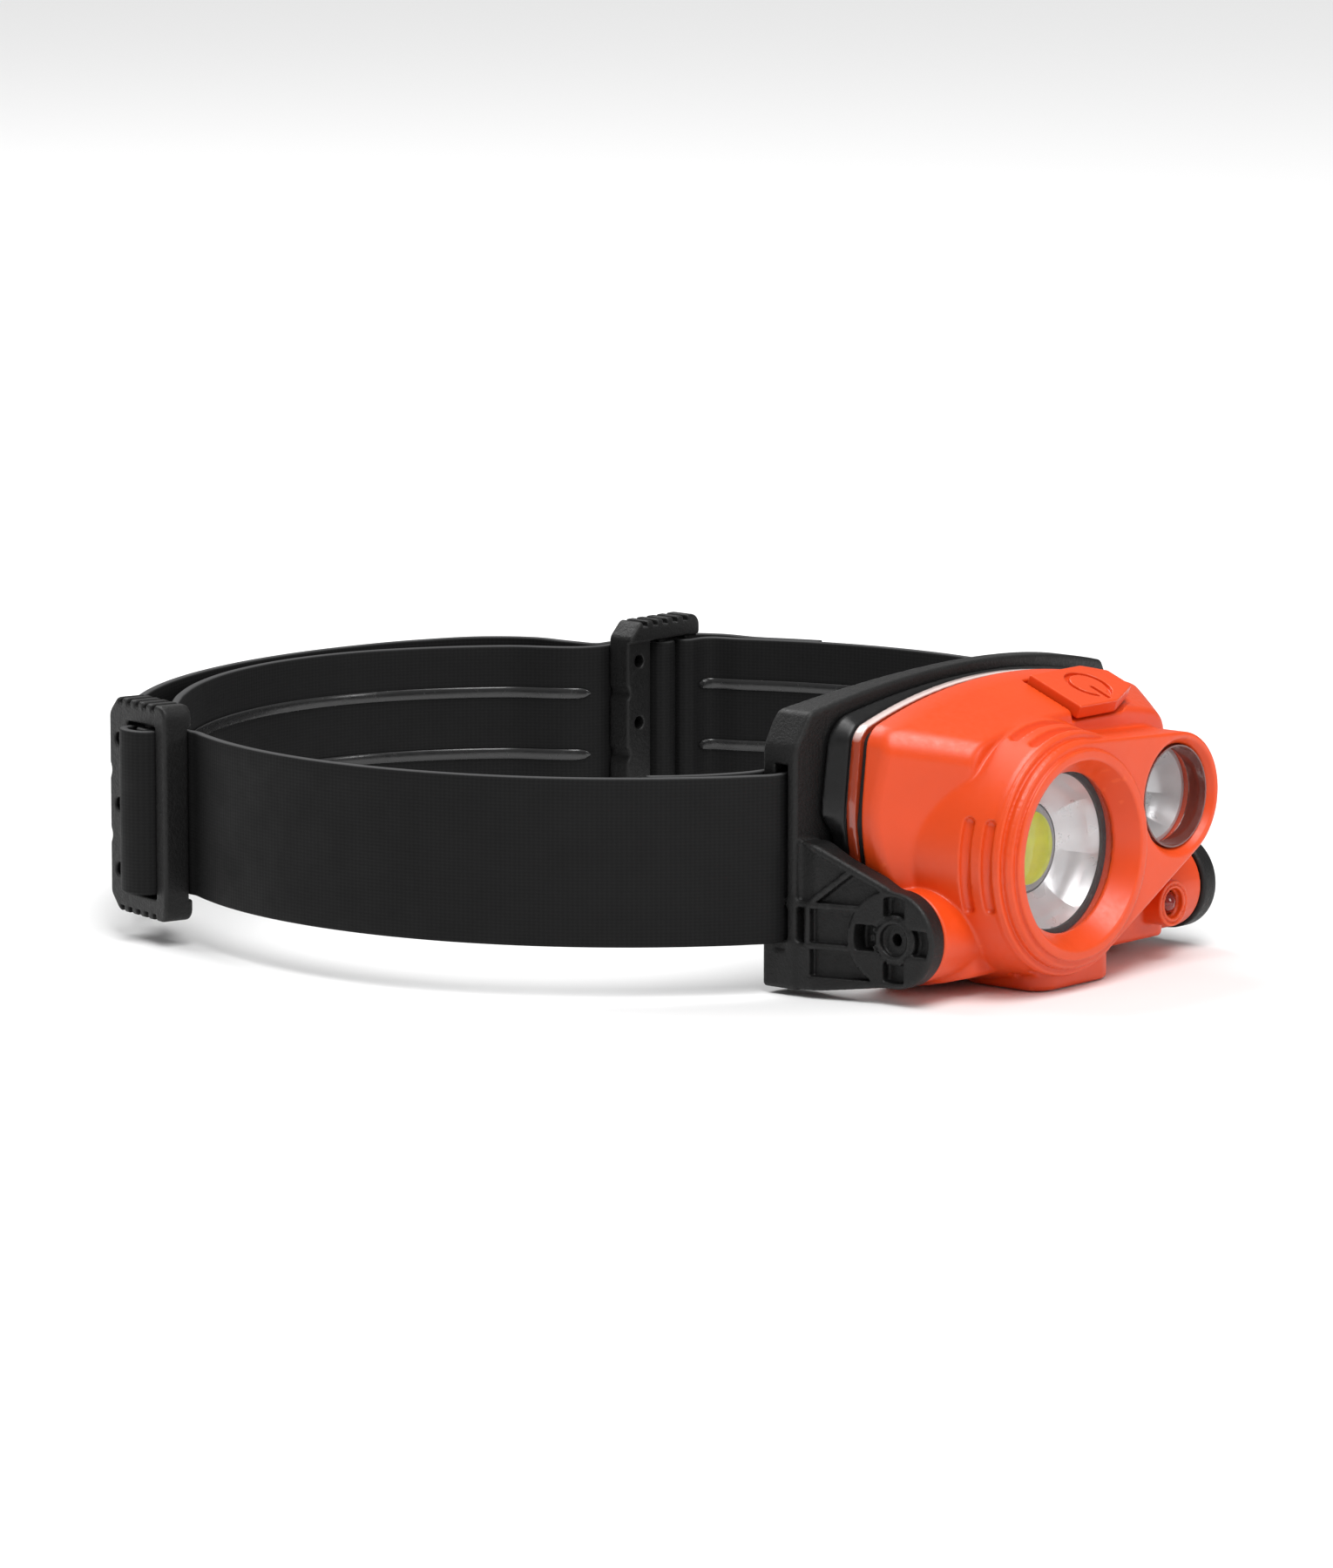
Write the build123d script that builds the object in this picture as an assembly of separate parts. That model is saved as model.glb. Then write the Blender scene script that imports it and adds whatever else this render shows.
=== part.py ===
from build123d import *
import math
import os

os.makedirs("parts", exist_ok=True)

# Frame: origin at the centre of the head loop, at the straps' mid-height.
# +Z is up, the lamp shines along -Y, and the wearer's right side is -X.

# Head loop and straps
LOOP_X = 86.6
LOOP_Y = 84.9
LOOP_CENTRE_Y = 0.9
STRAP_WIDTH = 30.0
STRAP_THICK = 1.6
OUTER_LAYER = 7.4
SPAN_STEPS = 3
GRIP_WIDTH = 2.1
GRIP_RAISE = 0.5
GRIP_Z = 6.0

# Adjusters: a slider and a ring of one shape
FRAME_LENGTH = 20.0
FRAME_HEIGHT = 39.5
FRAME_THICK = 5.0
RAIL_RAISE = 0.8
LAMP_BAR = 3.4
HOLED_BAR = 6.6
RAIL_WIDTH = 4.0
CENTRE_BAR_X = -1.7
CENTRE_BAR_WIDTH = 2.6
HOLE_RADIUS = 1.25
HOLE_PITCH = 12.0
NOTCH_COUNT = 4
SLIDER_AT = Vector(-77.8, 51.2, 0)
SLIDER_BACK = Vector(0.28, 0.96, 0)
RING_AT = Vector(63.0, 50.6, 0)
RING_BACK = Vector(-1.0, 0.03, 0)

# Bracket
BRACKET_HALF = 45.6
BRACKET_TOP = 30.4
BRACKET_CORNER_Z = 25.6
BRACKET_BOTTOM = -23.0
NOTCH_HALF = 36.0
NOTCH_TOP = -1.0
REAR_FACE_Y = -73.5
REAR_RADIUS = 137.0
FRONT_FACE_Y = -77.4
FRONT_RADIUS = 300.0
BRACKET_WALL = 2.4
BAR_REAR_Y = -66.6
SLOT_REAR_Y = -69.2
SLOT_FRONT_Y = -72.1
SLOT_HALF_HEIGHT = 16.6

# Tilt hinge
HINGE_Y = -92.7
HINGE_Z = -12.7
DISC_RADIUS = 8.6
DISC_FACE_X = 41.65
DISC_THICK = 4.0
LUG_FACE_X = 37.3
LUG_RADIUS = 8.2
LUG_CORE_X = 30.5
TRUNNION_RADIUS = 3.4
TRUNNION_LENGTH = 4.5
RUN_CLEARANCE = 0.05
CORE_HOLE_RADIUS = 1.05

# Lamp casing, front to back
SHELL_REAR_Y = -83.2
CREASE_Y = -86.4
FACE_Y = -99.5
WALL = 2.2
RING_FRONT_Y = -81.6
RING_REAR_Y = -79.5
COVER_FRONT_Y = -79.1
COVER_GAP = 0.6
FLANK_Z = (6.0, 19.0)
FLANK_LEAN = (-0.122, 0, 0.993)

# Main beam
MAIN_X = -10.0
MAIN_Z = 0.2
MAIN_FRONT_Y = -110.2
MAIN_STEPS = ((21.5, -107.6), (20.4, -109.0), (18.9, -110.2))
FLARE_ROOT = (24.6, -91.0)
FLARE_TIP = (21.7, -106.0)
MAIN_MOUTH = 16.8
MAIN_THROAT = 14.2
MAIN_THROAT_Y = -106.0
MAIN_BORE = 15.3

# Web between the barrels
FASCIA_Y = -109.5

# Spot beam
SPOT_X = 19.0
SPOT_Z = 6.9
SPOT_FRONT_Y = -110.0
SPOT_RADIUS = 11.6
SPOT_MOUTH = 9.8
SPOT_BORE = 9.3

# Indicator boss
BOSS_X = 24.0
BOSS_Y = -104.8
BOSS_Z = -13.6
BOSS_RADIUS = 4.2

# Base block and charging port
BLOCK_X = (-16.5, 5.3)
BLOCK_Y = (-106.0, -87.0)
BLOCK_BOTTOM = -24.1
BLOCK_CORNER = 4.5
PORT_X = -5.6
PORT_Y = -90.4
FLAP_SIZE = (13.4, 7.4, 1.7)
FLAP_Y = -91.6
FLAP_KNUCKLE = 0.4

# Power button, on the sloping roof
BUTTON_AT = (10.6, -94.6, 25.2)
ROOF_SLOPE = 22.0
BUTTON_THICK = 2.2
BUTTON_GAP = 0.35

LAMP_AXIS = (0, -1, 0)


def plane_y(y, x=0.0, z=0.0):
    """A plane facing the front at y, with its own x along X and its own y along Z."""
    return Plane(origin=(x, y, z), x_dir=(1, 0, 0), z_dir=LAMP_AXIS)


def rod_y(x, z, radius, y_front, y_back):
    """A cylinder along Y between two depths."""
    return extrude(plane_y(y_back, x, z) * Circle(radius), y_back - y_front)


def rod_x(y, z, radius, x_low, x_high):
    """A cylinder along X between two sides."""
    section = Plane(origin=(x_low, y, z), x_dir=(0, 1, 0), z_dir=(1, 0, 0)) * Circle(radius)
    return extrude(section, x_high - x_low)


def block(x, y, z):
    """A box given by its low and high ends on each axis."""
    size = (x[1] - x[0], y[1] - y[0], z[1] - z[0])
    middle = ((x[0] + x[1]) / 2, (y[0] + y[1]) / 2, (z[0] + z[1]) / 2)
    return Pos(*middle) * Box(*size)


def outline(half_points, top, radius):
    """A closed left-right symmetric outline with an arched top and rounded corners."""
    right = [(x, z) for x, z in half_points]
    left = [(-x, z) for x, z in reversed(half_points)]
    sides = Polyline(*right, *left)
    arch = ThreePointArc(left[-1], (0, top), right[0])
    face = make_face([*sides.edges(), arch])
    return fillet(face.vertices(), radius)


def rear_outline(inset):
    """The casing's outline at the parting line, moved inwards by inset."""
    points = [
        (37.2 - inset, 22.6 - inset * 0.8),
        (39.2 - inset, 6.0),
        (37.3 - inset, -5.0),
        (34.0 - inset, -19.5 + inset * 0.4),
        (29.0 - inset * 0.6, -23.6 + inset),
    ]
    return outline(points, 28.8 - inset, 2.6)


def face_outline(inset):
    """The outline of the casing's front face, moved inwards by inset."""
    points = [
        (25.0 - inset, 20.6 - inset * 0.8),
        (28.5 - inset, 7.0),
        (28.0 - inset, -5.0),
        (25.0 - inset, -16.0 + inset * 0.4),
        (20.0 - inset * 0.6, -20.4 + inset),
    ]
    return outline(points, 23.4 - inset, 2.6)


def casing_slab(inset, y_front, y_back):
    """The casing's outline as a slab between two depths."""
    return extrude(plane_y(y_back) * rear_outline(inset), y_back - y_front)


def casing_nose(inset, y_rear, y_crease, y_face):
    """The casing's block: straight behind the crease, tapering in front of it."""
    straight = extrude(plane_y(y_rear) * rear_outline(inset), y_rear - y_crease)
    sections = [plane_y(y_crease) * rear_outline(inset), plane_y(y_face) * face_outline(inset)]
    return straight + loft(sections, ruled=True)


def arc_slab(radius, face_y, side):
    """A tall cylinder whose front face crosses the middle plane at face_y."""
    return Pos(0, face_y + radius, 0) * Cylinder(radius, side)


# ---------------------------------------------------------------- bracket


def bracket_body():
    """The curved plate, its rear tray, its strap bars and slots."""
    tall = 80.0
    plate = block((-BRACKET_HALF, BRACKET_HALF), (-85, -60), (-40, 40))
    plate = plate & arc_slab(FRONT_RADIUS, FRONT_FACE_Y, tall)
    rear = arc_slab(REAR_RADIUS, REAR_FACE_Y, tall)
    ends = block((-BRACKET_HALF, BRACKET_HALF), (-90, BAR_REAR_Y), (-40, 40))
    plate = (plate - rear) & ends
    chamfer = 3.6
    view = Polyline(
        (BRACKET_HALF - chamfer, BRACKET_CORNER_Z),
        (BRACKET_HALF, BRACKET_CORNER_Z - 6.0),
        (BRACKET_HALF, BRACKET_BOTTOM),
        (NOTCH_HALF + 2.6, BRACKET_BOTTOM),
        (NOTCH_HALF + 1.2, NOTCH_TOP - 4.0),
        (NOTCH_HALF - 4.0, NOTCH_TOP),
        (-NOTCH_HALF + 4.0, NOTCH_TOP),
        (-NOTCH_HALF - 1.2, NOTCH_TOP - 4.0),
        (-NOTCH_HALF - 2.6, BRACKET_BOTTOM),
        (-BRACKET_HALF, BRACKET_BOTTOM),
        (-BRACKET_HALF, BRACKET_CORNER_Z - 6.0),
        (-BRACKET_HALF + chamfer, BRACKET_CORNER_Z),
    )
    arch = ThreePointArc(view @ 1, (0, BRACKET_TOP), view @ 0)
    front_view = make_face([*view.edges(), arch])
    plate = plate & extrude(plane_y(-60) * front_view, 30)
    keep = arc_slab(FRONT_RADIUS, FRONT_FACE_Y + BRACKET_WALL, tall)
    tray = extrude(plane_y(-60) * tray_view(0.0), 30) & keep
    plate = plate - tray
    for side in (-1, 1):
        plate = plate - strap_slot(side)
    return plate


def tray_view(inset):
    """The front view of the tray that holds the forehead pad."""
    points = [
        (34.5 - inset, 23.6 - inset),
        (34.5 - inset, 1.6 + inset),
    ]
    return outline(points, 27.6 - inset, 2.0)


def strap_slot(side):
    """The slot before one strap bar and the way round the bar's inner end."""
    height = (-SLOT_HALF_HEIGHT, SLOT_HALF_HEIGHT)
    inner_x = 38.2
    bar_end_x = 41.4
    slot = block((inner_x, 50), (SLOT_FRONT_Y, SLOT_REAR_Y), height)
    slot = slot + block((inner_x, bar_end_x), (SLOT_FRONT_Y, -60), height)
    return slot if side > 0 else slot.mirror(Plane.YZ)


def arm():
    """The right-hand (+X) arm: a ribbed cheek that ends in the hinge disc."""
    inner = DISC_FACE_X - DISC_THICK
    plan = make_face(
        Polyline(
            (inner, -104),
            (inner, -88.5),
            (39.9, -82.5),
            (39.9, -74.5),
            (BRACKET_HALF, -74.5),
            (45.2, -78.0),
            (DISC_FACE_X, -90.5),
            (DISC_FACE_X, -104),
            close=True,
        )
    )
    cheek = extrude(Pos(0, 0, -40) * plan, 80)
    side_plane = Plane(origin=(30, 0, 0), x_dir=(0, 1, 0), z_dir=(1, 0, 0))
    web = make_face(
        Polyline(
            (-74.0, 3.2),
            (-77.5, 3.2),
            (HINGE_Y + 4.0, HINGE_Z + DISC_RADIUS - 0.1),
            (HINGE_Y, HINGE_Z),
            (HINGE_Y, HINGE_Z - DISC_RADIUS),
            (-77.5, BRACKET_BOTTOM),
            (-74.0, BRACKET_BOTTOM),
            close=True,
        )
    )
    profile = web + Pos(HINGE_Y, HINGE_Z) * Circle(DISC_RADIUS)
    cheek = cheek & extrude(side_plane * profile, 30)
    return cheek - arm_pockets() - disc_face()


def arm_pockets():
    """The shallow recesses between the cheek's ribs."""
    depth = 1.3
    pockets = None
    for y, z in (((-84.2, -78.3), (-20.6, -16.0)), ((-84.0, -78.3), (-14.9, -9.6))):
        box = block((41.9, 50), y, z)
        pockets = box if pockets is None else pockets + box
    for z in ((-21.3, -16.0), (-14.9, -8.6)):
        pockets = pockets + block((BRACKET_HALF - depth, 50), (-76.9, -75.2), z)
    return pockets


def disc_face():
    """The notches, the ring groove and the core hole in the hinge disc's face."""
    deep = 1.6
    hub = 3.9
    cut = rod_x(HINGE_Y, HINGE_Z, 2.7, DISC_FACE_X - deep, DISC_FACE_X + 1)
    for quarter in range(4):
        angle = math.radians(90 * quarter)
        y = HINGE_Y + 5.9 * math.cos(angle)
        z = HINGE_Z + 5.9 * math.sin(angle)
        pocket = Box(2 * deep, 3.2, 3.8)
        cut = cut + Pos(DISC_FACE_X, y, z) * Rot(90 * quarter, 0, 0) * pocket
    hub_ring = rod_x(HINGE_Y, HINGE_Z, hub, DISC_FACE_X - 0.4, DISC_FACE_X + 1)
    hole = rod_x(HINGE_Y, HINGE_Z, CORE_HOLE_RADIUS, 30, 50)
    return cut + hub_ring + hole


def trunnion():
    """The stub that turns in the lug's socket on the +X side."""
    root = DISC_FACE_X - DISC_THICK
    stub = rod_x(HINGE_Y, HINGE_Z, TRUNNION_RADIUS, root - TRUNNION_LENGTH, root + 0.5)
    return stub - rod_x(HINGE_Y, HINGE_Z, CORE_HOLE_RADIUS, 30, 50)


def bracket():
    """The whole bracket: plate, both arms and both trunnions."""
    whole = bracket_body()
    side = arm() + trunnion()
    return whole + side + side.mirror(Plane.YZ)


def forehead_pad():
    """The soft pad in the bracket's tray."""
    pad = extrude(plane_y(-60) * tray_view(0.3), 30)
    pad = pad & arc_slab(FRONT_RADIUS, FRONT_FACE_Y + BRACKET_WALL + 0.1, 80)
    proud = 3.0
    return pad - arc_slab(REAR_RADIUS - proud, REAR_FACE_Y + proud, 80)


# ---------------------------------------------------------------- straps


def loop_point(degrees, offset=0.0):
    """A point of the head loop, moved outwards by offset."""
    angle = math.radians(degrees)
    x = LOOP_X * math.cos(angle)
    y = LOOP_CENTRE_Y + LOOP_Y * math.sin(angle)
    normal = Vector(math.cos(angle) / LOOP_X, math.sin(angle) / LOOP_Y, 0).normalized()
    return (x + offset * normal.X, y + offset * normal.Y)


def local_points(origin, back, points):
    """Points given as (towards the back, outwards) from an adjuster's centre."""
    along = back.normalized()
    outward = Vector(-along.Y, along.X, 0)
    if outward.dot(origin) < 0:
        outward = outward * -1
    placed = []
    for x, y in points:
        spot = origin + along * x + outward * y
        placed.append((spot.X, spot.Y))
    return placed


def bracket_hem(side):
    """The strap's hem round one of the bracket's bars, from its sewn end outwards."""
    sewn = [loop_point(222, -2.3), loop_point(226, -2.3), (-51.5, -63.2), (-46.8, -65.2)]
    turn = [(-44.0, -65.6), (-42.2, -65.6), (-40.7, -66.1), (-40.3, -67.9)]
    back = [(-40.7, -69.7), (-42.2, -70.2), (-44.4, -70.3), (-46.3, -70.4)]
    return [(-side * x, y) for x, y in sewn + turn + back]


def smooth(points, steps):
    """Points along a smooth curve through the given ones, with unit tangents."""
    ends = [
        (2 * points[0][0] - points[1][0], 2 * points[0][1] - points[1][1]),
        (2 * points[-1][0] - points[-2][0], 2 * points[-1][1] - points[-2][1]),
    ]
    chain = [Vector(*p) for p in [ends[0], *points, ends[1]]]
    line = []
    for a, b, c, d in zip(chain, chain[1:], chain[2:], chain[3:]):
        before = max((b - a).length, 1e-6)
        here = max((c - b).length, 1e-6)
        after = max((d - c).length, 1e-6)
        start = ((b - a) * (1 / before) - (c - a) * (1 / (before + here)) + (c - b) * (1 / here)) * here
        stop = ((c - b) * (1 / here) - (d - b) * (1 / (here + after)) + (d - c) * (1 / after)) * here
        for step in range(steps):
            t = step / steps
            t2 = t * t
            t3 = t2 * t
            spot = (
                b * (2 * t3 - 3 * t2 + 1)
                + start * (t3 - 2 * t2 + t)
                + c * (3 * t2 - 2 * t3)
                + stop * (t3 - t2)
            )
            slope = (
                b * (6 * t2 - 6 * t)
                + start * (3 * t2 - 4 * t + 1)
                + c * (6 * t - 6 * t2)
                + stop * (3 * t2 - 2 * t)
            )
            line.append((spot, slope.normalized()))
    line.append((chain[-2], (chain[-2] - chain[-3]).normalized()))
    return line


def band(points, thick, width, shift=0.0, z=0.0, skip=0):
    """A flat band along points in plan, shifted sideways, less skip spans at either end."""
    one_side = []
    other_side = []
    line = smooth(points, SPAN_STEPS)
    left_out = skip * SPAN_STEPS
    for spot, along in line[left_out:len(line) - left_out]:
        across = Vector(-along.Y, along.X, 0)
        one_side.append(spot + across * (shift + thick / 2))
        other_side.append(spot + across * (shift - thick / 2))
    face = make_face(Polyline(*one_side, *reversed(other_side), close=True))
    return extrude(Pos(0, 0, z - width / 2) * face, width)


SLIDER_PASS = [
    (-10.6, -3.9), (-8.3, -3.5), (-6.7, -3.5), (-5.7, -2.6), (-5.7, -0.6), (-5.6, 1.8),
    (-4.9, 3.9), (-2.6, 5.0), (0.2, 4.9), (2.0, 3.8), (2.4, 1.5), (2.4, -0.6), (2.4, -2.4),
    (3.2, -3.5), (5.4, -3.6), (8.5, -3.7),
]
SLIDER_HEM = [
    (8.5, -5.8), (5.4, -5.8), (3.0, -5.5), (1.1, -4.4), (0.5, -2.4), (0.5, -0.3), (-0.2, 1.7),
    (-1.7, 2.2), (-3.2, 1.7), (-3.9, -0.3), (-3.7, -2.8), (-2.1, -5.3), (0.8, -7.2), (4.5, -7.8),
]
RING_TURN = [
    (9.0, 5.9), (6.0, 5.8), (3.2, 5.3), (0.8, 3.9), (-1.4, 2.5), (-3.2, 1.7), (-3.95, 0.0),
    (-3.3, -1.7), (-1.7, -2.3), (-0.1, -1.9), (0.6, -0.3), (1.5, 1.7), (3.3, 3.4), (5.5, 3.6),
    (7.5, 3.6), (9.8, 3.6),
]
RING_EXIT = [(11.4, 3.8), (13.4, 4.6)]
RING_HEM = [
    (-10.8, -3.9), (-8.3, -3.5), (-6.7, -3.5), (-5.75, -2.6), (-5.7, 0.0), (-5.75, 2.6),
    (-6.7, 3.5), (-8.3, 3.5), (-10.5, 3.4),
]


def right_side_route():
    """The long strap from the right bar to the slider."""
    side = [loop_point(a) for a in (234, 228, 221, 213, 204, 195, 186, 177, 168, 161, 155)]
    return bracket_hem(-1) + side


def inner_back_route():
    """The inner back layer, from the ring back to the slider."""
    stations = ((60, -6.6), (70, -2.6), (80, 0.8), (90, 2.4), (101, 2.4), (112, 1.4), (122, 0.4))
    leaving = local_points(RING_AT, RING_BACK, RING_EXIT)
    return leaving + [loop_point(a, o) for a, o in stations] + [loop_point(131, 0.2)]


def long_route():
    """Right bar, slider, outer back layer, ring, inner back layer, slider."""
    outer = [loop_point(a, OUTER_LAYER) for a in (133, 124, 114, 103, 91, 79, 68)]
    outer = outer + [loop_point(60, 6.4), loop_point(54, 2.2), loop_point(50, -4.4)]
    slider_pass = local_points(SLIDER_AT, SLIDER_BACK, SLIDER_PASS)
    slider_hem = local_points(SLIDER_AT, SLIDER_BACK, SLIDER_HEM)
    ring_turn = local_points(RING_AT, RING_BACK, RING_TURN)
    return right_side_route() + slider_pass + outer + ring_turn + inner_back_route() + slider_hem


def left_side_route():
    """The short strap's free length, from the left bar to the ring."""
    return [loop_point(a) for a in (306, 312, 319, 327, 336, 345, 354, 3, 12, 20, 27)]


def short_route():
    """Left bar, then round the ring's lamp-side bar and sewn back on itself."""
    hem = local_points(RING_AT, RING_BACK, RING_HEM)
    sewn = [(78.9, 47.2), loop_point(25.5, 2.3), loop_point(21, 2.0), loop_point(17, 2.0)]
    return bracket_hem(1) + left_side_route() + hem + sewn


def left_grip_route():
    """The short strap from the bracket to just before the ring's lamp-side bar."""
    return left_side_route() + local_points(RING_AT, RING_BACK, RING_HEM[:3])


def grip_pair(points, towards):
    """Two raised silicone lines on the strap's inner face."""
    shift = towards * ((STRAP_THICK + GRIP_RAISE) / 2 + 0.03)
    low = band(points, GRIP_RAISE, GRIP_WIDTH, shift, -GRIP_Z, 1)
    high = band(points, GRIP_RAISE, GRIP_WIDTH, shift, GRIP_Z, 1)
    return Compound(children=[*low.solids(), *high.solids()])


# ---------------------------------------------------------------- adjusters


def adjuster():
    """The strap frame: two rails, a lamp-side bar, a centre bar and a holed bar."""
    half = FRAME_LENGTH / 2
    tall = FRAME_HEIGHT / 2
    cut = 3.0
    profile = make_face(
        Polyline(
            (-half + 1.5, tall), (half - cut, tall), (half, tall - cut), (half, -tall + cut),
            (half - cut, -tall), (-half + 1.5, -tall), (-half, -tall + 1.5), (-half, tall - 1.5),
            close=True,
        )
    )
    face_plane = Plane(origin=(0, FRAME_THICK / 2, 0), x_dir=(1, 0, 0), z_dir=(0, -1, 0))
    frame = extrude(face_plane * profile, FRAME_THICK + RAIL_RAISE)
    opening = tall - RAIL_WIDTH
    low = -FRAME_THICK / 2
    frame = frame - block((-half - 1, half), (low - RAIL_RAISE, low), (-opening, opening))
    window = block((-half + LAMP_BAR, half - HOLED_BAR), (-10, 10), (-opening, opening))
    frame = frame - window
    centre = Pos(CENTRE_BAR_X, 0, 0) * Box(CENTRE_BAR_WIDTH, 2.4, 2 * opening + 1)
    centre = fillet(centre.edges().filter_by(Axis.Z), 0.9)
    frame = frame + centre
    for number in range(NOTCH_COUNT):
        x = -half + 5.4 + number * 3.2
        for z in (-tall, tall):
            frame = frame - Pos(x, 0, z) * Rot(90, 0, 0) * Cylinder(0.8, 20)
    for step in (-1, 0, 1):
        hole = Pos(half - HOLED_BAR / 2, 0, step * HOLE_PITCH) * Rot(90, 0, 0)
        frame = frame - hole * Cylinder(HOLE_RADIUS, 20)
        dent = Pos(half + 0.9, 0, (step + 0.5) * HOLE_PITCH) * Rot(90, 0, 0)
        frame = frame - dent * Cylinder(1.5, 20)
    return frame


def placed_adjuster(origin, back, upright):
    """An adjuster at its place, with its own x towards the back of the head."""
    plane = Plane(origin=origin, x_dir=back.normalized(), z_dir=(0, 0, upright))
    return plane.location * adjuster()


# ---------------------------------------------------------------- lamp casing


def main_barrel():
    """The main beam's barrel with its stepped rim and a flared root."""
    barrel = rod_y(MAIN_X, MAIN_Z, MAIN_STEPS[0][0], MAIN_STEPS[0][1], -90)
    for radius, y in MAIN_STEPS[1:]:
        barrel = barrel + rod_y(MAIN_X, MAIN_Z, radius, y, -90)
    root_radius, root_y = FLARE_ROOT
    tip_radius, tip_y = FLARE_TIP
    flare = loft([
        plane_y(root_y, MAIN_X, MAIN_Z) * Circle(root_radius),
        plane_y(tip_y, MAIN_X, MAIN_Z) * Circle(tip_radius),
    ])
    return barrel + (flare & casing_slab(0.3, tip_y - 1, root_y + 1))


def spot_barrel():
    """The spot beam's barrel."""
    return rod_y(SPOT_X, SPOT_Z, SPOT_RADIUS, SPOT_FRONT_Y, -90)


def fascia():
    """The flat web that joins the two barrels."""
    main_rim = Pos(MAIN_X, MAIN_Z) * Circle(19.5)
    spot_rim = Pos(SPOT_X, SPOT_Z) * Circle(SPOT_RADIUS - 0.6)
    hull = make_hull([*main_rim.edges(), *spot_rim.edges()])
    return extrude(plane_y(-90) * hull, -90 - FASCIA_Y)


def lugs():
    """The two barrels that hold the hinge sockets."""
    right = rod_x(HINGE_Y, HINGE_Z, LUG_RADIUS, 12, LUG_FACE_X)
    left = rod_x(HINGE_Y, HINGE_Z, LUG_RADIUS, -LUG_FACE_X, -12)
    return right + left


def lug_sockets():
    """The sockets for the trunnions and the counterbores for the friction rings."""
    depth = TRUNNION_LENGTH + 0.6
    radius = TRUNNION_RADIUS + RUN_CLEARANCE
    socket = rod_x(HINGE_Y, HINGE_Z, radius, LUG_FACE_X - depth, LUG_FACE_X + 1)
    seat = rod_x(HINGE_Y, HINGE_Z, 5.4, LUG_FACE_X - 1.5, LUG_FACE_X + 1)
    both = socket + seat
    return both + both.mirror(Plane.YZ)


def friction_rings():
    """The rubber rings that hold the lamp at its tilt."""
    start = LUG_FACE_X - 1.4
    ring = rod_x(HINGE_Y, HINGE_Z, 5.3, start, LUG_FACE_X + 0.05)
    ring = ring - rod_x(HINGE_Y, HINGE_Z, TRUNNION_RADIUS + 0.15, 30, 50)
    mirrored = ring.mirror(Plane.YZ)
    return Compound(children=[*ring.solids(), *mirrored.solids()])


SCREW_SPOTS = ((-31.0, 15.5), (31.0, 15.5), (-28.6, -13.2), (28.6, -13.2))
POST_RADIUS = 2.7
SCREW_RADIUS = 1.1
SCREW_HEAD_RADIUS = 2.0
SCREW_SEAT_Y = -77.7


def button_plane(height=0.0):
    """The roof's sloping plane under the button, moved up its normal by height."""
    slope = math.radians(ROOF_SLOPE)
    normal = Vector(0, -math.sin(slope), math.cos(slope))
    origin = Vector(*BUTTON_AT) + normal * height
    return Plane(origin=origin, x_dir=(1, 0, 0), z_dir=normal)


def button_outline(grow):
    """The button's outline in its own plane: a rectangle with two cut corners."""
    wide = 9.6 + grow
    deep = 6.2 + grow
    cut = 4.6
    return make_face(
        Polyline(
            (-wide, deep), (wide - cut, deep), (wide, deep - cut + 1.6), (wide, -deep + cut - 1.0),
            (wide - 2 * cut + 1.0, -deep), (-wide, -deep),
            close=True,
        )
    )


def front_shell():
    """The orange casing front, hollowed, with its barrels, lugs, boss and block."""
    outside = casing_nose(0.0, SHELL_REAR_Y, CREASE_Y, FACE_Y)
    core = outside
    outside = outside + main_barrel() + spot_barrel() + fascia() + lugs()
    outside = outside + rod_y(BOSS_X, BOSS_Z, BOSS_RADIUS, BOSS_Y, -90)
    outside = outside + base_block()
    hollow = casing_nose(WALL, SHELL_REAR_Y, CREASE_Y, FACE_Y + WALL)
    posts = None
    for x, z in SCREW_SPOTS:
        post = rod_y(x, z, POST_RADIUS, -97, RING_FRONT_Y)
        posts = post if posts is None else posts + post
    keep = (posts & core) + lug_cores(outside)
    shell = outside - (hollow - keep)
    shell = shell + (posts - core & block((-40, 40), (SHELL_REAR_Y, -80), (-30, 30)))
    shell = shell - beam_bores() - lug_sockets() - screw_pilots() - port_opening()
    roof_hole = extrude(button_plane(-7) * button_outline(BUTTON_GAP), 20)
    return shell - roof_hole


def base_block():
    """The block under the main barrel, with its upright front edges rounded."""
    solid = block(BLOCK_X, BLOCK_Y, (BLOCK_BOTTOM, -16))
    front_edges = solid.edges().filter_by(Axis.Z).sort_by(Axis.Y)[:2]
    return fillet(front_edges, BLOCK_CORNER)


def lug_cores(outside):
    """The part of both lugs that stays solid inside the casing, round the sockets."""
    ends = block((LUG_CORE_X, 50), (-110, -80), (-40, 40))
    return lugs() & outside & (ends + ends.mirror(Plane.YZ))


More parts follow.
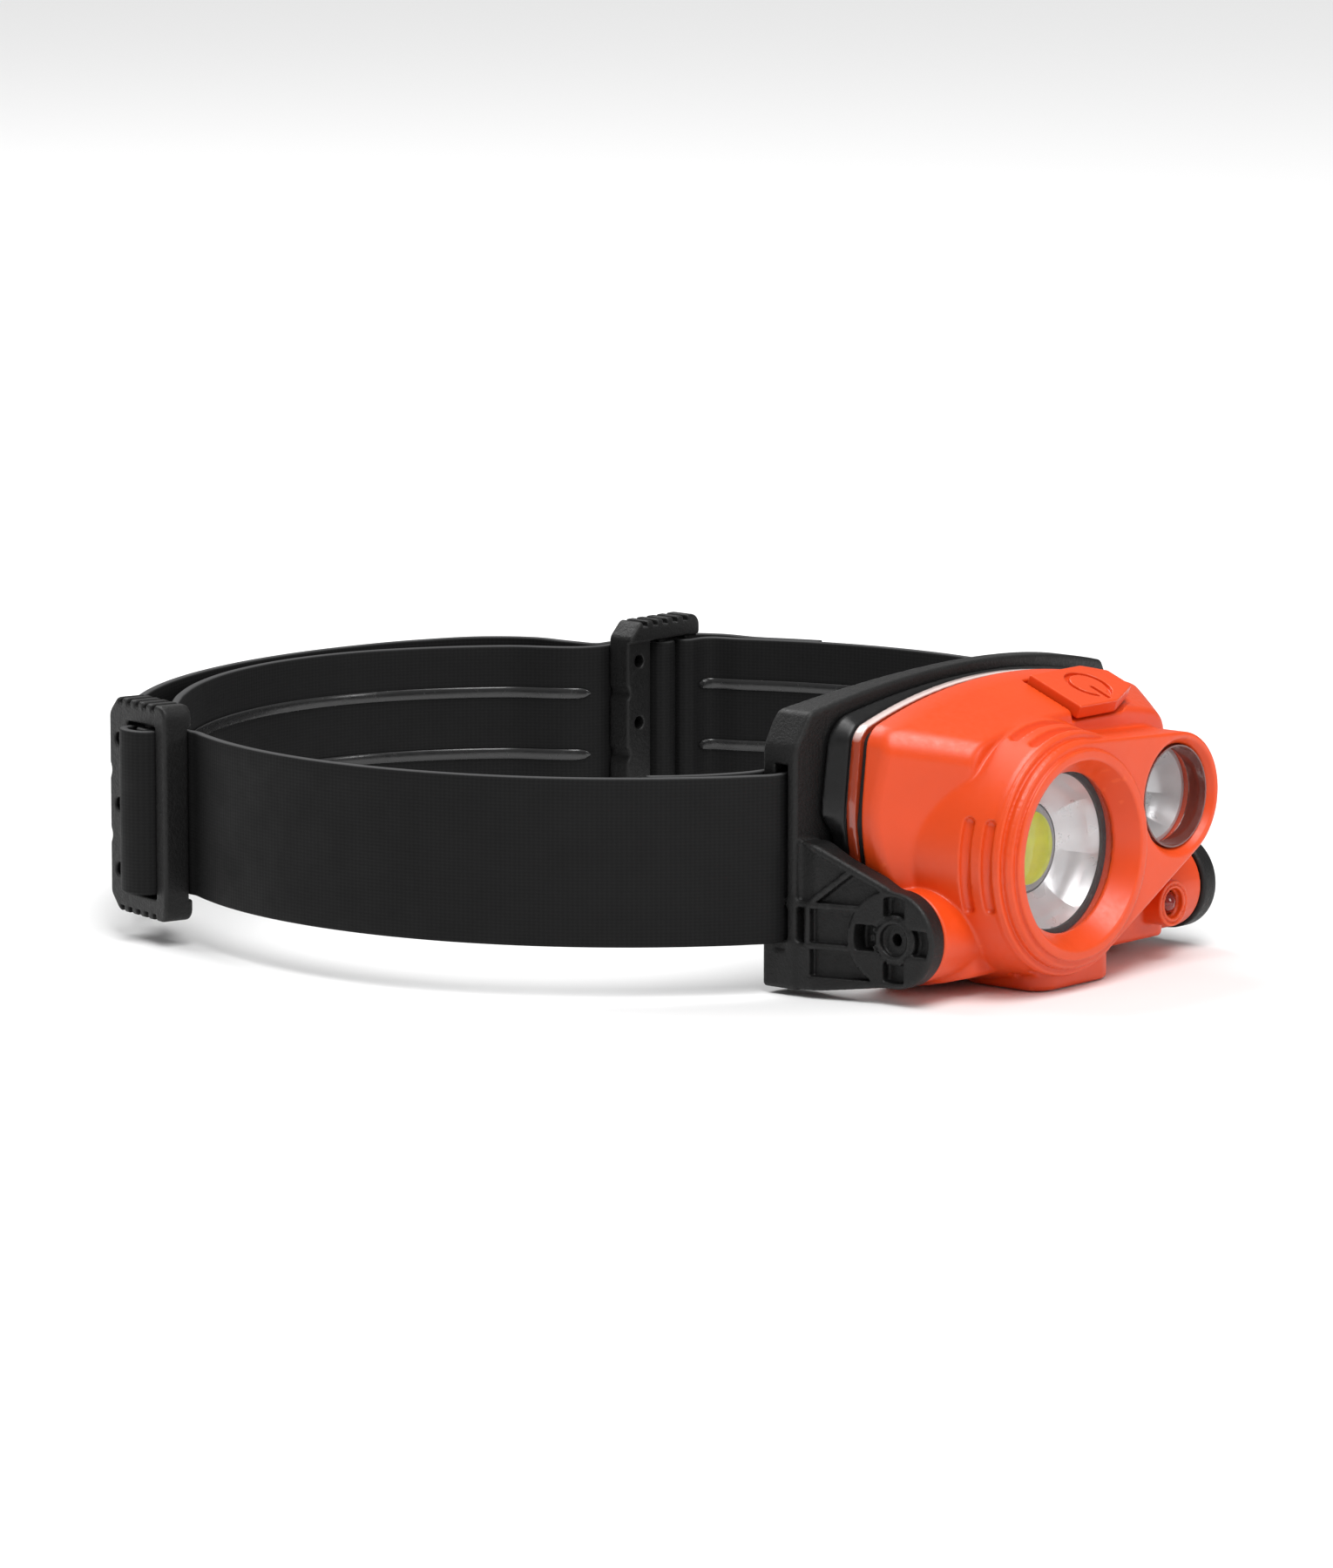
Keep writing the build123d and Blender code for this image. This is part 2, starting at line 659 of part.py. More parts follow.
def beam_bores():
    """The mouths, bores and rear openings of both beams and the indicator."""
    mouth = loft([
        plane_y(MAIN_FRONT_Y - 0.01, MAIN_X, MAIN_Z) * Circle(MAIN_MOUTH),
        plane_y(MAIN_THROAT_Y, MAIN_X, MAIN_Z) * Circle(MAIN_THROAT),
    ])
    throat = rod_y(MAIN_X, MAIN_Z, MAIN_THROAT, MAIN_THROAT_Y - 0.01, -105.4)
    bore = rod_y(MAIN_X, MAIN_Z, MAIN_BORE, -105.5, -90)
    spot_mouth = rod_y(SPOT_X, SPOT_Z, SPOT_MOUTH, -112, -108.6)
    spot_throat = rod_y(SPOT_X, SPOT_Z, SPOT_BORE, -109, -90)
    lamp = rod_y(BOSS_X, BOSS_Z, 2.9, -106, BOSS_Y + 1.3)
    lamp = lamp + rod_y(BOSS_X, BOSS_Z, 2.35, -106, -98.5)
    return mouth + throat + bore + spot_mouth + spot_throat + lamp


def screw_pilots():
    """The pilot holes for the case screws."""
    holes = None
    for x, z in SCREW_SPOTS:
        hole = rod_y(x, z, SCREW_RADIUS + 0.05, -91.5, -70)
        holes = hole if holes is None else holes + hole
    return holes


def port_opening():
    """The flap's recess and the slot for the charging socket."""
    width, depth, thick = FLAP_SIZE
    half = width / 2 + 0.3
    recess = block(
        (PORT_X - half, PORT_X + half),
        (FLAP_Y - depth / 2 - 0.3, FLAP_Y + depth / 2 + 0.3),
        (BLOCK_BOTTOM - 1, BLOCK_BOTTOM + thick + 0.6),
    )
    slot = block((PORT_X - 4.8, PORT_X + 4.8), (PORT_Y - 1.9, PORT_Y + 1.9), (-26, -14))
    return recess + slot


def light_ring():
    """The clear ring between the casing halves."""
    ring = casing_slab(0.35, RING_FRONT_Y, RING_REAR_Y)
    return ring - casing_slab(3.4, RING_FRONT_Y - 1, RING_REAR_Y + 1)


def seal(y_front, y_back, outer, inner):
    """A flat rubber seal that follows the casing's outline."""
    ring = casing_slab(outer, y_front, y_back)
    return ring - casing_slab(inner, y_front - 1, y_back + 1)


def swing_limit():
    """The space that stays clear of the bracket as the casing turns."""
    upper = block((-50, 50), (-110, -60), (HINGE_Z, 40))
    return upper + rod_x(HINGE_Y, HINGE_Z, 16.2, -50, 50)


def rear_cover():
    """The black rear half: curved back, side walls and a locating spigot."""
    rear_radius = FRONT_RADIUS + COVER_GAP
    back = arc_slab(rear_radius, FRONT_FACE_Y - COVER_GAP, 90)
    cover = casing_slab(0.55, COVER_FRONT_Y, -68) - back
    cover = cover & swing_limit()
    cavity = casing_slab(3.4, COVER_FRONT_Y - 3, -68)
    inner = arc_slab(rear_radius, FRONT_FACE_Y - COVER_GAP - 2.0, 90)
    panel = (casing_slab(3.6, COVER_FRONT_Y - 1.5, -68) - back) & inner
    panel = panel & swing_limit()
    inner_cut = (cavity - inner) & swing_limit_inner()
    cover = (cover + panel) - inner_cut
    flank = cover_flank() - back
    cover = cover + flank + flank.mirror(Plane.YZ)
    for x, z in SCREW_SPOTS:
        cover = cover - rod_y(x, z, SCREW_HEAD_RADIUS + 0.1, SCREW_SEAT_Y, -60)
    return cover - screw_pilots()


def cover_flank():
    """The wedge that widens the cover's +X side towards the bracket."""
    wedge = Polyline((37.6, COVER_FRONT_Y), (38.6, COVER_FRONT_Y), (41.6, -74.5), (37.0, -74.0), close=True)
    section = Pos(0, 0, FLANK_Z[0]) * make_face(wedge)
    return extrude(section, FLANK_Z[1] - FLANK_Z[0], dir=FLANK_LEAN)


def swing_limit_inner():
    """The swing space, moved inwards by the cover's wall."""
    upper = block((-50, 50), (-110, -60), (HINGE_Z, 40))
    return upper + rod_x(HINGE_Y, HINGE_Z, 14.2, -50, 50)


def case_screws():
    """The four screws that hold the casing halves together."""
    screws = []
    for x, z in SCREW_SPOTS:
        shank = rod_y(x, z, SCREW_RADIUS, -91.0, SCREW_SEAT_Y + 0.1)
        head = rod_y(x, z, SCREW_HEAD_RADIUS, SCREW_SEAT_Y + 0.05, SCREW_SEAT_Y + 0.8)
        screws.extend((shank + head).solids())
    return Compound(children=screws)


# ---------------------------------------------------------------- optics


def revolve_y(points, x, z):
    """A ring turned about the beam axis from (radius, depth) points."""
    profile = Plane(origin=(x, 0, z), x_dir=(1, 0, 0), z_dir=(0, 0, 1)) * make_face(
        Polyline(*points, close=True)
    )
    return revolve(profile, Axis((x, 0, z), (0, 1, 0)))


WINDOW_Y = (-105.3, -103.8)
LENS_SEAL_Y = (-103.7, -103.1)
LENS_SEAL_RADII = (15.0, 13.8)
BOWL_PROFILE = (
    (14.9, -103.0), (14.9, -101.6), (13.2, -101.2), (9.4, -97.1), (8.3, -97.1),
    (8.3, -97.9), (9.6, -99.4), (13.0, -103.0),
)
EMITTER = (6.6, -98.4, -97.8)
EMITTER_CARRIER = (7.9, -97.9, -97.0)
LED_BOARD = (14.6, -96.9, -95.6)
SINK_PLATE = (13.6, -95.5, -94.3)
SINK_FIN_Y = (-94.4, -91.6)
SINK_FIN_COUNT = 5
SINK_FIN_PITCH = 4.0
SINK_FIN_THICK = 1.2
SINK_FIN_HALF = 8.0
SPOT_WINDOW_Y = (-105.0, -103.8)
SPOT_BOWL_PROFILE = (
    (9.0, -103.6), (9.0, -102.4), (3.9, -96.3), (2.6, -96.3), (2.6, -97.0), (7.7, -103.6),
)
SPOT_LED = (2.3, -97.2, -96.2)
SPOT_BOARD = (8.8, -96.1, -95.0)
DOME_RADIUS = 2.2
STEM = (2.25, BOSS_Y + 0.9, -99.6)


def main_lens():
    """The main beam's clear window."""
    return rod_y(MAIN_X, MAIN_Z, MAIN_BORE - 0.15, *WINDOW_Y)


def main_reflector():
    """The main beam's white bowl."""
    return revolve_y(BOWL_PROFILE, MAIN_X, MAIN_Z)


def lens_seal():
    """The ring between the main window and the bowl."""
    outer, inner = LENS_SEAL_RADII
    ring = rod_y(MAIN_X, MAIN_Z, outer, *LENS_SEAL_Y)
    return ring - rod_y(MAIN_X, MAIN_Z, inner, -105, -100)


def main_led():
    """The main emitter with its carrier."""
    return rod_y(MAIN_X, MAIN_Z, *EMITTER_CARRIER) + rod_y(MAIN_X, MAIN_Z, *EMITTER)


def main_led_board():
    """The aluminium board under the main emitter."""
    return rod_y(MAIN_X, MAIN_Z, *LED_BOARD)


def heat_sink():
    """The finned plate behind the main emitter's board."""
    plate = rod_y(MAIN_X, MAIN_Z, *SINK_PLATE)
    tall = (MAIN_Z - SINK_FIN_HALF, MAIN_Z + SINK_FIN_HALF)
    for number in range(SINK_FIN_COUNT):
        x = MAIN_X + (number - (SINK_FIN_COUNT - 1) / 2) * SINK_FIN_PITCH
        plate = plate + block((x - SINK_FIN_THICK / 2, x + SINK_FIN_THICK / 2), SINK_FIN_Y, tall)
    return plate


def spot_lens():
    """The spot beam's window."""
    return rod_y(SPOT_X, SPOT_Z, SPOT_BORE - 0.15, *SPOT_WINDOW_Y)


def spot_reflector():
    """The spot beam's bowl."""
    return revolve_y(SPOT_BOWL_PROFILE, SPOT_X, SPOT_Z)


def spot_led():
    """The spot emitter."""
    return rod_y(SPOT_X, SPOT_Z, *SPOT_LED)


def spot_led_board():
    """The board under the spot emitter."""
    return rod_y(SPOT_X, SPOT_Z, *SPOT_BOARD)


def indicator_lens():
    """The red indicator's domed lens."""
    stem = rod_y(BOSS_X, BOSS_Z, *STEM)
    dome = Pos(BOSS_X, BOSS_Y + 1.9, BOSS_Z) * Sphere(DOME_RADIUS)
    reach = 3.0
    front = block(
        (BOSS_X - reach, BOSS_X + reach),
        (BOSS_Y - reach, BOSS_Y + 1.0),
        (BOSS_Z - reach, BOSS_Z + reach),
    )
    return stem + (dome & front)


# ---------------------------------------------------------------- electrics


BOARD_X = (-27, 27)
BOARD_Y = (-88.9, -87.7)
BOARD_Z = (-17.5, 17)
CHIPS = (
    ((14, 21), (-90.4, -89.0), (-9, -2)),
    ((17, 20.2), (-90.6, -89.0), (2, 5.2)),
    ((-24, -19), (-90.9, -89.0), (9, 14)),
)
CELL_X = (-25, 25)
CELL_Y = (-87.4, -81.3)
CELL_Z = (-13, 15)
CELL_CORNER = 2.4
SOCKET_HALF = 4.45
SOCKET_Z = (-21.6, -14.6)
SOCKET_CORNER = 1.3
SOCKET_MOUTH_HALF = 3.8
SWITCH_BOARD_DEPTH = 9.4
SWITCH_BODY_DEPTH = 8.3
SWITCH_BODY_TALL = 2.6
PLUNGER_DEPTH = 5.8
PLUNGER_RADIUS = 1.6
SEAL_DEPTH = 4.9
SEAL_THICK = 0.8
SYMBOL_DEPTH = 0.35
CAP_BASE = -0.9
PUSH_ROD_RADIUS = 2.4


def control_board():
    """The main circuit board."""
    board = block(BOARD_X, BOARD_Y, BOARD_Z)
    for x, z in SCREW_SPOTS:
        board = board - rod_y(x, z, POST_RADIUS + 0.5, -95, -80)
    return board


def board_parts():
    """The larger components on the circuit board."""
    chips = [block(*ends) for ends in CHIPS]
    return Compound(children=[s for chip in chips for s in chip.solids()])


def battery():
    """The flat rechargeable cell behind the board."""
    cell = block(CELL_X, CELL_Y, CELL_Z)
    return fillet(cell.edges().filter_by(Axis.Z), CELL_CORNER)


def charge_socket():
    """The charging socket on the lower edge of the board."""
    metal = block(
        (PORT_X - SOCKET_HALF, PORT_X + SOCKET_HALF), (PORT_Y - 1.6, PORT_Y + 1.4), SOCKET_Z
    )
    metal = fillet(metal.edges().filter_by(Axis.Z), SOCKET_CORNER)
    return metal - block(
        (PORT_X - SOCKET_MOUTH_HALF, PORT_X + SOCKET_MOUTH_HALF),
        (PORT_Y - 0.9, PORT_Y + 0.8),
        (-22, -16.4),
    )


def switch_board():
    """The small board under the button."""
    return extrude(button_plane(-SWITCH_BOARD_DEPTH) * Rectangle(12, 8), 1.0)


def tactile_switch():
    """The switch body and its plunger."""
    body = extrude(button_plane(-SWITCH_BODY_DEPTH) * Rectangle(6, 6), SWITCH_BODY_TALL)
    return body + extrude(button_plane(-PLUNGER_DEPTH) * Circle(PLUNGER_RADIUS), 0.7)


def button_seal():
    """The rubber membrane between the button and the switch."""
    return extrude(button_plane(-SEAL_DEPTH) * button_outline(-1.0), SEAL_THICK)


def power_button():
    """The button's cap with a short push rod."""
    cap = extrude(button_plane(CAP_BASE) * button_outline(0.0), BUTTON_THICK)
    top = button_plane(CAP_BASE + BUTTON_THICK)
    ring = extrude(top * (Circle(4.4) - Circle(3.6)), -SYMBOL_DEPTH)
    gap = extrude(top * Pos(0, -3.9) * Rectangle(3.0, 2.4), -SYMBOL_DEPTH)
    bar = extrude(top * Pos(0, -2.9) * Rectangle(0.8, 4.8), -SYMBOL_DEPTH)
    rod = extrude(button_plane(CAP_BASE - 2.0) * Circle(PUSH_ROD_RADIUS), 2.2)
    return cap - (ring - gap) - bar + rod


def port_flap():
    """The rubber flap over the charging socket, flush with the base."""
    width, depth, thick = FLAP_SIZE
    flap = Pos(PORT_X, FLAP_Y, BLOCK_BOTTOM + thick / 2 + 0.1) * Box(width, depth, thick)
    nick = block(
        (PORT_X - 2.5, PORT_X + 2.5),
        (FLAP_Y - depth / 2 - 1, FLAP_Y - depth / 2 + 0.6),
        (BLOCK_BOTTOM, BLOCK_BOTTOM + 1.0),
    )
    knuckle = flap.edges().filter_by(Axis.X).sort_by(lambda edge: edge.center().Z - edge.center().Y)[0]
    return fillet(knuckle, FLAP_KNUCKLE) - nick


PARTS = {
    "bracket": bracket,
    "forehead_pad": forehead_pad,
    "long_strap": lambda: band(long_route(), STRAP_THICK, STRAP_WIDTH),
    "short_strap": lambda: band(short_route(), STRAP_THICK, STRAP_WIDTH),
    "grip_lines_right": lambda: grip_pair(right_side_route()[12:-1], -1),
    "grip_lines_left": lambda: grip_pair(left_grip_route(), 1),
    "grip_lines_back": lambda: grip_pair(inner_back_route(), 1),
    "strap_slider": lambda: placed_adjuster(SLIDER_AT, SLIDER_BACK, 1),
    "strap_ring": lambda: placed_adjuster(RING_AT, RING_BACK, -1),
    "front_shell": front_shell,
    "light_ring": light_ring,
    "front_seal": lambda: seal(SHELL_REAR_Y + 0.05, RING_FRONT_Y - 0.05, 1.3, 3.0),
    "rear_seal": lambda: seal(RING_REAR_Y + 0.03, COVER_FRONT_Y - 0.03, 0.8, 3.0),
    "rear_cover": rear_cover,
    "case_screws": case_screws,
    "friction_rings": friction_rings,
    "main_lens": main_lens,
    "lens_seal": lens_seal,
    "main_reflector": main_reflector,
    "main_led": main_led,
    "main_led_board": main_led_board,
    "heat_sink": heat_sink,
    "spot_lens": spot_lens,
    "spot_reflector": spot_reflector,
    "spot_led": spot_led,
    "spot_led_board": spot_led_board,
    "indicator_lens": indicator_lens,
    "control_board": control_board,
    "board_parts": board_parts,
    "battery": battery,
    "charge_socket": charge_socket,
    "switch_board": switch_board,
    "tactile_switch": tactile_switch,
    "button_seal": button_seal,
    "power_button": power_button,
    "port_flap": port_flap,
}


for name, make in PARTS.items():
    export_step(make(), f"parts/{name}.step")
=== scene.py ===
import math

import bpy
import numpy as np
from mathutils import Matrix, Vector


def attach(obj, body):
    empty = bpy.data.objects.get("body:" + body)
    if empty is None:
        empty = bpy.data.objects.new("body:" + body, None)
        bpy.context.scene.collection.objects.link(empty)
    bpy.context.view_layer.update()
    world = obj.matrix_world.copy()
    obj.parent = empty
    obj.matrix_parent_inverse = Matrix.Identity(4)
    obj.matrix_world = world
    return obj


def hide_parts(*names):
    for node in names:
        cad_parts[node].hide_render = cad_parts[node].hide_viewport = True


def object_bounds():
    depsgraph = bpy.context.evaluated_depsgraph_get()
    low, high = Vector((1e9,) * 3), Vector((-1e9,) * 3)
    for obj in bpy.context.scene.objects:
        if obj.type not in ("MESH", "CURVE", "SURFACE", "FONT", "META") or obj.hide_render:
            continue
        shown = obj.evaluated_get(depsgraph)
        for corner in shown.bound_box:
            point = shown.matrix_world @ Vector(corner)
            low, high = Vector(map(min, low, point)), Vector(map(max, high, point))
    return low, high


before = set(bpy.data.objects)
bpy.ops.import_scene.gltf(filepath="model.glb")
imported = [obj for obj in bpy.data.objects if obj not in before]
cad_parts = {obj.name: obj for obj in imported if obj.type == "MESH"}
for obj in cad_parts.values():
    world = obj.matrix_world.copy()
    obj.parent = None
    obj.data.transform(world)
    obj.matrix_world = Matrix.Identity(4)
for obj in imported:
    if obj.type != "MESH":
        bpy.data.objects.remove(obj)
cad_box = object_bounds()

# Everything below is worked out in millimetres and scaled once, when a mesh is made.
MM = 0.001

# Head loop and straps
LOOP_X = 86.6
LOOP_Y = 84.9
LOOP_CENTRE_Y = 0.9
STRAP_WIDTH = 30.0
STRAP_THICK = 1.6
OUTER_LAYER = 7.4
GRIP_WIDTH = 2.1
GRIP_RAISE = 0.5
GRIP_Z = 6.0

# Adjusters
FRAME_LENGTH = 20.0
FRAME_HEIGHT = 39.5
FRAME_THICK = 5.0
RAIL_RAISE = 0.8
LAMP_BAR = 3.4
HOLED_BAR = 6.6
RAIL_WIDTH = 4.0
CENTRE_BAR_X = -1.7
CENTRE_BAR_WIDTH = 2.6
HOLE_RADIUS = 1.25
HOLE_PITCH = 12.0
NOTCH_COUNT = 4
SLIDER_AT = np.array((-77.8, 51.2))
SLIDER_BACK = np.array((0.28, 0.96))
RING_AT = np.array((63.0, 50.6))
RING_BACK = np.array((-1.0, 0.03))

# Bracket
BRACKET_HALF = 45.6
BRACKET_TOP = 30.4
BRACKET_ARCH = 186.0
BRACKET_CORNER_Z = 25.6
BRACKET_BOTTOM = -23.0
REAR_FACE_Y = -73.5
REAR_RADIUS = 137.0
FRONT_FACE_Y = -77.4
FRONT_RADIUS = 300.0
BRACKET_WALL = 2.4
ARM_LIMIT_X = 45.5
BAR_REAR_Y = -66.6
SLOT_REAR_Y = -69.2
SLOT_FRONT_Y = -72.1
SLOT_HALF_HEIGHT = 16.6

# Tilt hinge
HINGE_Y = -92.7
HINGE_Z = -12.7
DISC_RADIUS = 8.6
DISC_FACE_X = 41.65
DISC_THICK = 4.0
LUG_FACE_X = 37.3
LUG_RADIUS = 8.2
TRUNNION_RADIUS = 3.4
SOCKET_RADIUS = 3.45

# Lamp casing
CASING_TOP = 28.8
CASING_ARCH = 118.0
CASING_BOTTOM = -23.6
SHELL_REAR_Y = -83.2
CREASE_Y = -86.4
FACE_Y = -99.5
WALL = 2.2
RING_FRONT_Y = -81.6
RING_REAR_Y = -79.5
COVER_FRONT_Y = -79.1
COVER_GAP = 0.6
SCREWS = ((31.0, 15.5), (28.6, -13.2))
SCREW_HOLE = 2.1
MAIN_X = -10.0
MAIN_Z = 0.2
MAIN_BORE = 15.3
BARREL_RADIUS = 21.5
BARREL_FRONT_Y = -107.8
BARREL_RINGS = ((20.3, -109.0), (18.7, -110.2))
BARREL_LIP_Y = -110.2
MOUTH_RADIUS = 16.9
MOUTH_TAPER = 2.6
MOUTH_DEPTH = 4.2
FLARE_RADIUS = 21.75
FLARE_Y = -106.0
GROOVE_ROWS_Y = (-101.3, -105.4)
SPOT_X = 19.0
SPOT_Z = 6.9
SPOT_RADIUS = 11.6
SPOT_MOUTH = 10.6
SPOT_BORE = 9.3
FASCIA_Y = -109.5
BOSS_X = 24.0
BOSS_Y = -104.8
BOSS_Z = -13.6
BOSS_RADIUS = 4.2
BOSS_BORE = 2.35
BLOCK_X = (-16.5, 5.3)
BLOCK_Y = (-106.0, -87.0)
BLOCK_BOTTOM = -24.1
BLOCK_CORNER = 4.5
PORT_LOW = (-12.6, -95.6, -26)
PORT_HIGH = (1.4, -87.6, -21.8)
BUTTON_AT = (10.6, -94.6, 25.2)
ROOF_SLOPE = math.radians(22.0)

# Turned pieces have a pinhole of this radius on their axis
HUB = 0.02

# Bowls: soft panels round their walls, and how far these are flattened
BOWL_PANELS = 8
BOWL_TURN = math.radians(-10)
BOWL_SHARE = 0.6
BOWL_STEPS = 144
BOWL_CREASE = 9

# Camera, in degrees and millimetres
CAMERA_AZIMUTH = -49.815
CAMERA_ELEVATION = 9.263
CAMERA_DISTANCE = 1503.4
CAMERA_SIDEWAYS = 4.602
CAMERA_UP = 0.026
CAMERA_LENS = 186.8
CAMERA_SENSOR = 36.0


# ---- distance fields
# A field takes x, y and z in millimetres and is negative inside the shape.


def join(a, b, blend=0.0):
    """Union of two fields, with a fillet of about blend."""
    if blend <= 0:
        return np.minimum(a, b)
    h = np.clip(0.5 + 0.5 * (b - a) / blend, 0, 1)
    return b + (a - b) * h - blend * h * (1 - h)


def both(a, b, blend=0.0):
    """Intersection of two fields, with its edge rounded by about blend."""
    return -join(-a, -b, blend)


def rounded(a, b, radius):
    """Intersection of two fields, with an edge of the given radius."""
    corner = np.hypot(np.maximum(a + radius, 0), np.maximum(b + radius, 0))
    return corner - radius + np.minimum(np.maximum(a, b) + radius, 0)


def cut(a, b, blend=0.0):
    """Field a without field b."""
    return both(a, -b, blend)


def all_of(fields, blend=0.0):
    """Intersection of several fields."""
    result = fields[0]
    for field in fields[1:]:
        result = both(result, field, blend)
    return result


def span(value, low, high):
    """Distance outside the range from low to high."""
    return np.maximum(low - value, value - high)


def box_field(x, y, z, low, high, blend=0.0):
    """A box with rounded edges."""
    sides = [span(x, low[0], high[0]), span(y, low[1], high[1]), span(z, low[2], high[2])]
    return all_of(sides, blend)


def rod(a, b, along, radius, low, high, blend=0.0):
    """A cylinder: a and b are measured from its axis, along runs down it."""
    return both(np.hypot(a, b) - radius, span(along, low, high), blend)


def hinge_rod(x, y, z, radius, low, high, blend=0.0):
    """A cylinder on the tilt axis at either side, from low to high off the middle plane."""
    return rod(y - HINGE_Y, z - HINGE_Z, np.abs(x), radius, low, high, blend)


def edge_plane(a, b, start, stop):
    """Distance to the right of the line from start to stop, in the plane of a and b."""
    da, db = stop[0] - start[0], stop[1] - start[1]
    size = math.hypot(da, db)
    return ((a - start[0]) * db - (b - start[1]) * da) / size


def polygon_field(a, b, points, blend=0.0):
    """A convex outline, its points given clockwise."""
    sides = [edge_plane(a, b, p, q) for p, q in zip(points, points[1:] + points[:1])]
    return all_of([-side for side in sides], blend)


def edge_crossings(values, cells):
    """The mean point, in grid steps, where the zero surface crosses each cell's edges."""
    total = np.zeros((len(cells), 3))
    count = np.zeros((len(cells), 1))
    for axis in range(3):
        step = np.eye(3, dtype=int)[axis]
        others = [np.eye(3, dtype=int)[k] for k in range(3) if k != axis]
        for first in (0, 1):
            for second in (0, 1):
                corner = first * others[0] + second * others[1]
                a = values[tuple((cells + corner).T)]
                b = values[tuple((cells + corner + step).T)]
                crossed = (a < 0) != (b < 0)
                share = np.where(crossed, a / np.where(crossed, a - b, 1), 0)
                total += np.where(crossed[:, None], corner + share[:, None] * step, 0)
                count += crossed[:, None]
    return cells + total / count


def surface_net(values):
    """Points and quads of the zero surface of a block of values, one point per cell."""
    inside = values < 0
    nx, ny, nz = (n - 1 for n in values.shape)
    corners = np.zeros((nx, ny, nz), np.int8)
    for i in (0, 1):
        for j in (0, 1):
            for k in (0, 1):
                corners += inside[i : nx + i, j : ny + j, k : nz + k]
    mixed = (corners > 0) & (corners < 8)
    cells = np.argwhere(mixed)
    number = np.full(mixed.shape, -1)
    number[mixed] = np.arange(len(cells))
    quads = []
    for axis in range(3):
        u, v = (axis + 1) % 3, (axis + 2) % 3
        low = np.moveaxis(inside, (axis, u, v), (0, 1, 2))
        index = np.moveaxis(number, (axis, u, v), (0, 1, 2))
        start, stop = low[:-1, 1:-1, 1:-1], low[1:, 1:-1, 1:-1]
        for crossed, order in ((start & ~stop, 1), (~start & stop, -1)):
            a, b, c = np.nonzero(crossed)
            around = [index[a, b, c], index[a, b + 1, c], index[a, b + 1, c + 1], index[a, b, c + 1]]
            quads.append(np.stack(around[::order], axis=1))
    return edge_crossings(values, cells), np.concatenate(quads)


def mesh_from_field(name, field, low, high, voxel):
    """A closed mesh of the field's zero surface, refined onto the exact surface."""
    axes = [np.arange(a, b + voxel, voxel) for a, b in zip(low, high)]
    x, y, z = np.meshgrid(*axes, indexing="ij", sparse=True)
    values = np.array(np.broadcast_to(field(x, y, z), [len(a) for a in axes]))
    points, quads = surface_net(values)
    points = points * voxel + np.array(low)
    probe = 0.04
    passes = 3
    flattest = 0.25
    for _ in range(passes):
        here = field(*points.T)
        sides = [field(*(points + shift).T) - field(*(points - shift).T) for shift in np.eye(3) * probe]
        slope = np.stack(sides, axis=1) / (2 * probe)
        size = np.maximum((slope**2).sum(axis=1), flattest)
        move = -slope * (here / size)[:, None]
        points = points + np.clip(move, -voxel / 2, voxel / 2)
    return mesh_object(name, points, quads)


def add_object(name, data):
    """A new object in the scene."""
    thing = bpy.data.objects.new(name, data)
    bpy.context.scene.collection.objects.link(thing)
    return thing


def mesh_object(name, points, faces):
    """A smooth-shaded mesh from points in millimetres, with its faces turned outwards."""
    data = bpy.data.meshes.new(name)
    data.from_pydata((np.asarray(points) * MM).tolist(), [], [list(map(int, f)) for f in faces])
    data.update()
    if signed_volume(data) < 0:
        data.flip_normals()
    data.shade_smooth()
    return add_object(name, data)


def signed_volume(data):
    """Six times the volume inside a closed mesh, negative when it is inside out."""
    data.calc_loop_triangles()
    corners = np.zeros(len(data.vertices) * 3)
    data.vertices.foreach_get("co", corners)
    corners = corners.reshape(-1, 3)
    index = np.zeros(len(data.loop_triangles) * 3, np.int32)
    data.loop_triangles.foreach_get("vertices", index)
    a, b, c = (corners[index.reshape(-1, 3)[:, k]] for k in range(3))
    return float((a * np.cross(b, c)).sum())


def finish_piece(piece, body, slot, material, *nodes):
    """Puts a finished piece on its body and material, in place of its CAD nodes; slot is not used."""
    piece.data.materials.clear()
    piece.data.materials.append(material)
    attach(piece, body)
    if nodes:
        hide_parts(*nodes)
    return piece


# ---- materials


def new_material(name, colour, roughness, **sockets):
    """A Principled material, with its tree, its shader and a list of settings."""
    material = bpy.data.materials.new(name)
    material.use_nodes = True
    tree = material.node_tree
    shader = tree.nodes["Principled BSDF"]
    shader.inputs["Base Color"].default_value = (*colour, 1)
    shader.inputs["Roughness"].default_value = roughness
    for key, value in sockets.items():
        shader.inputs[key.replace("_", " ")].default_value = value
    return material, tree, shader


def noise(tree, scale, detail, roughness=0.55):
    """A noise texture in object space, with scale in cycles per metre."""
    place = tree.nodes.new("ShaderNodeTexCoord")
    texture = tree.nodes.new("ShaderNodeTexNoise")
    texture.inputs["Scale"].default_value = scale
    texture.inputs["Detail"].default_value = detail
    texture.inputs["Roughness"].default_value = roughness
    tree.links.new(place.outputs["Object"], texture.inputs["Vector"])
    return texture.outputs["Fac"]


def ranged(tree, value, low, high, from_low=0.3, from_high=0.7):
    """The value mapped onto low to high."""
    node = tree.nodes.new("ShaderNodeMapRange")
    node.inputs["From Min"].default_value = from_low
    node.inputs["From Max"].default_value = from_high
    node.inputs["To Min"].default_value = low
    node.inputs["To Max"].default_value = high
    tree.links.new(value, node.inputs["Value"])
    return node.outputs["Result"]


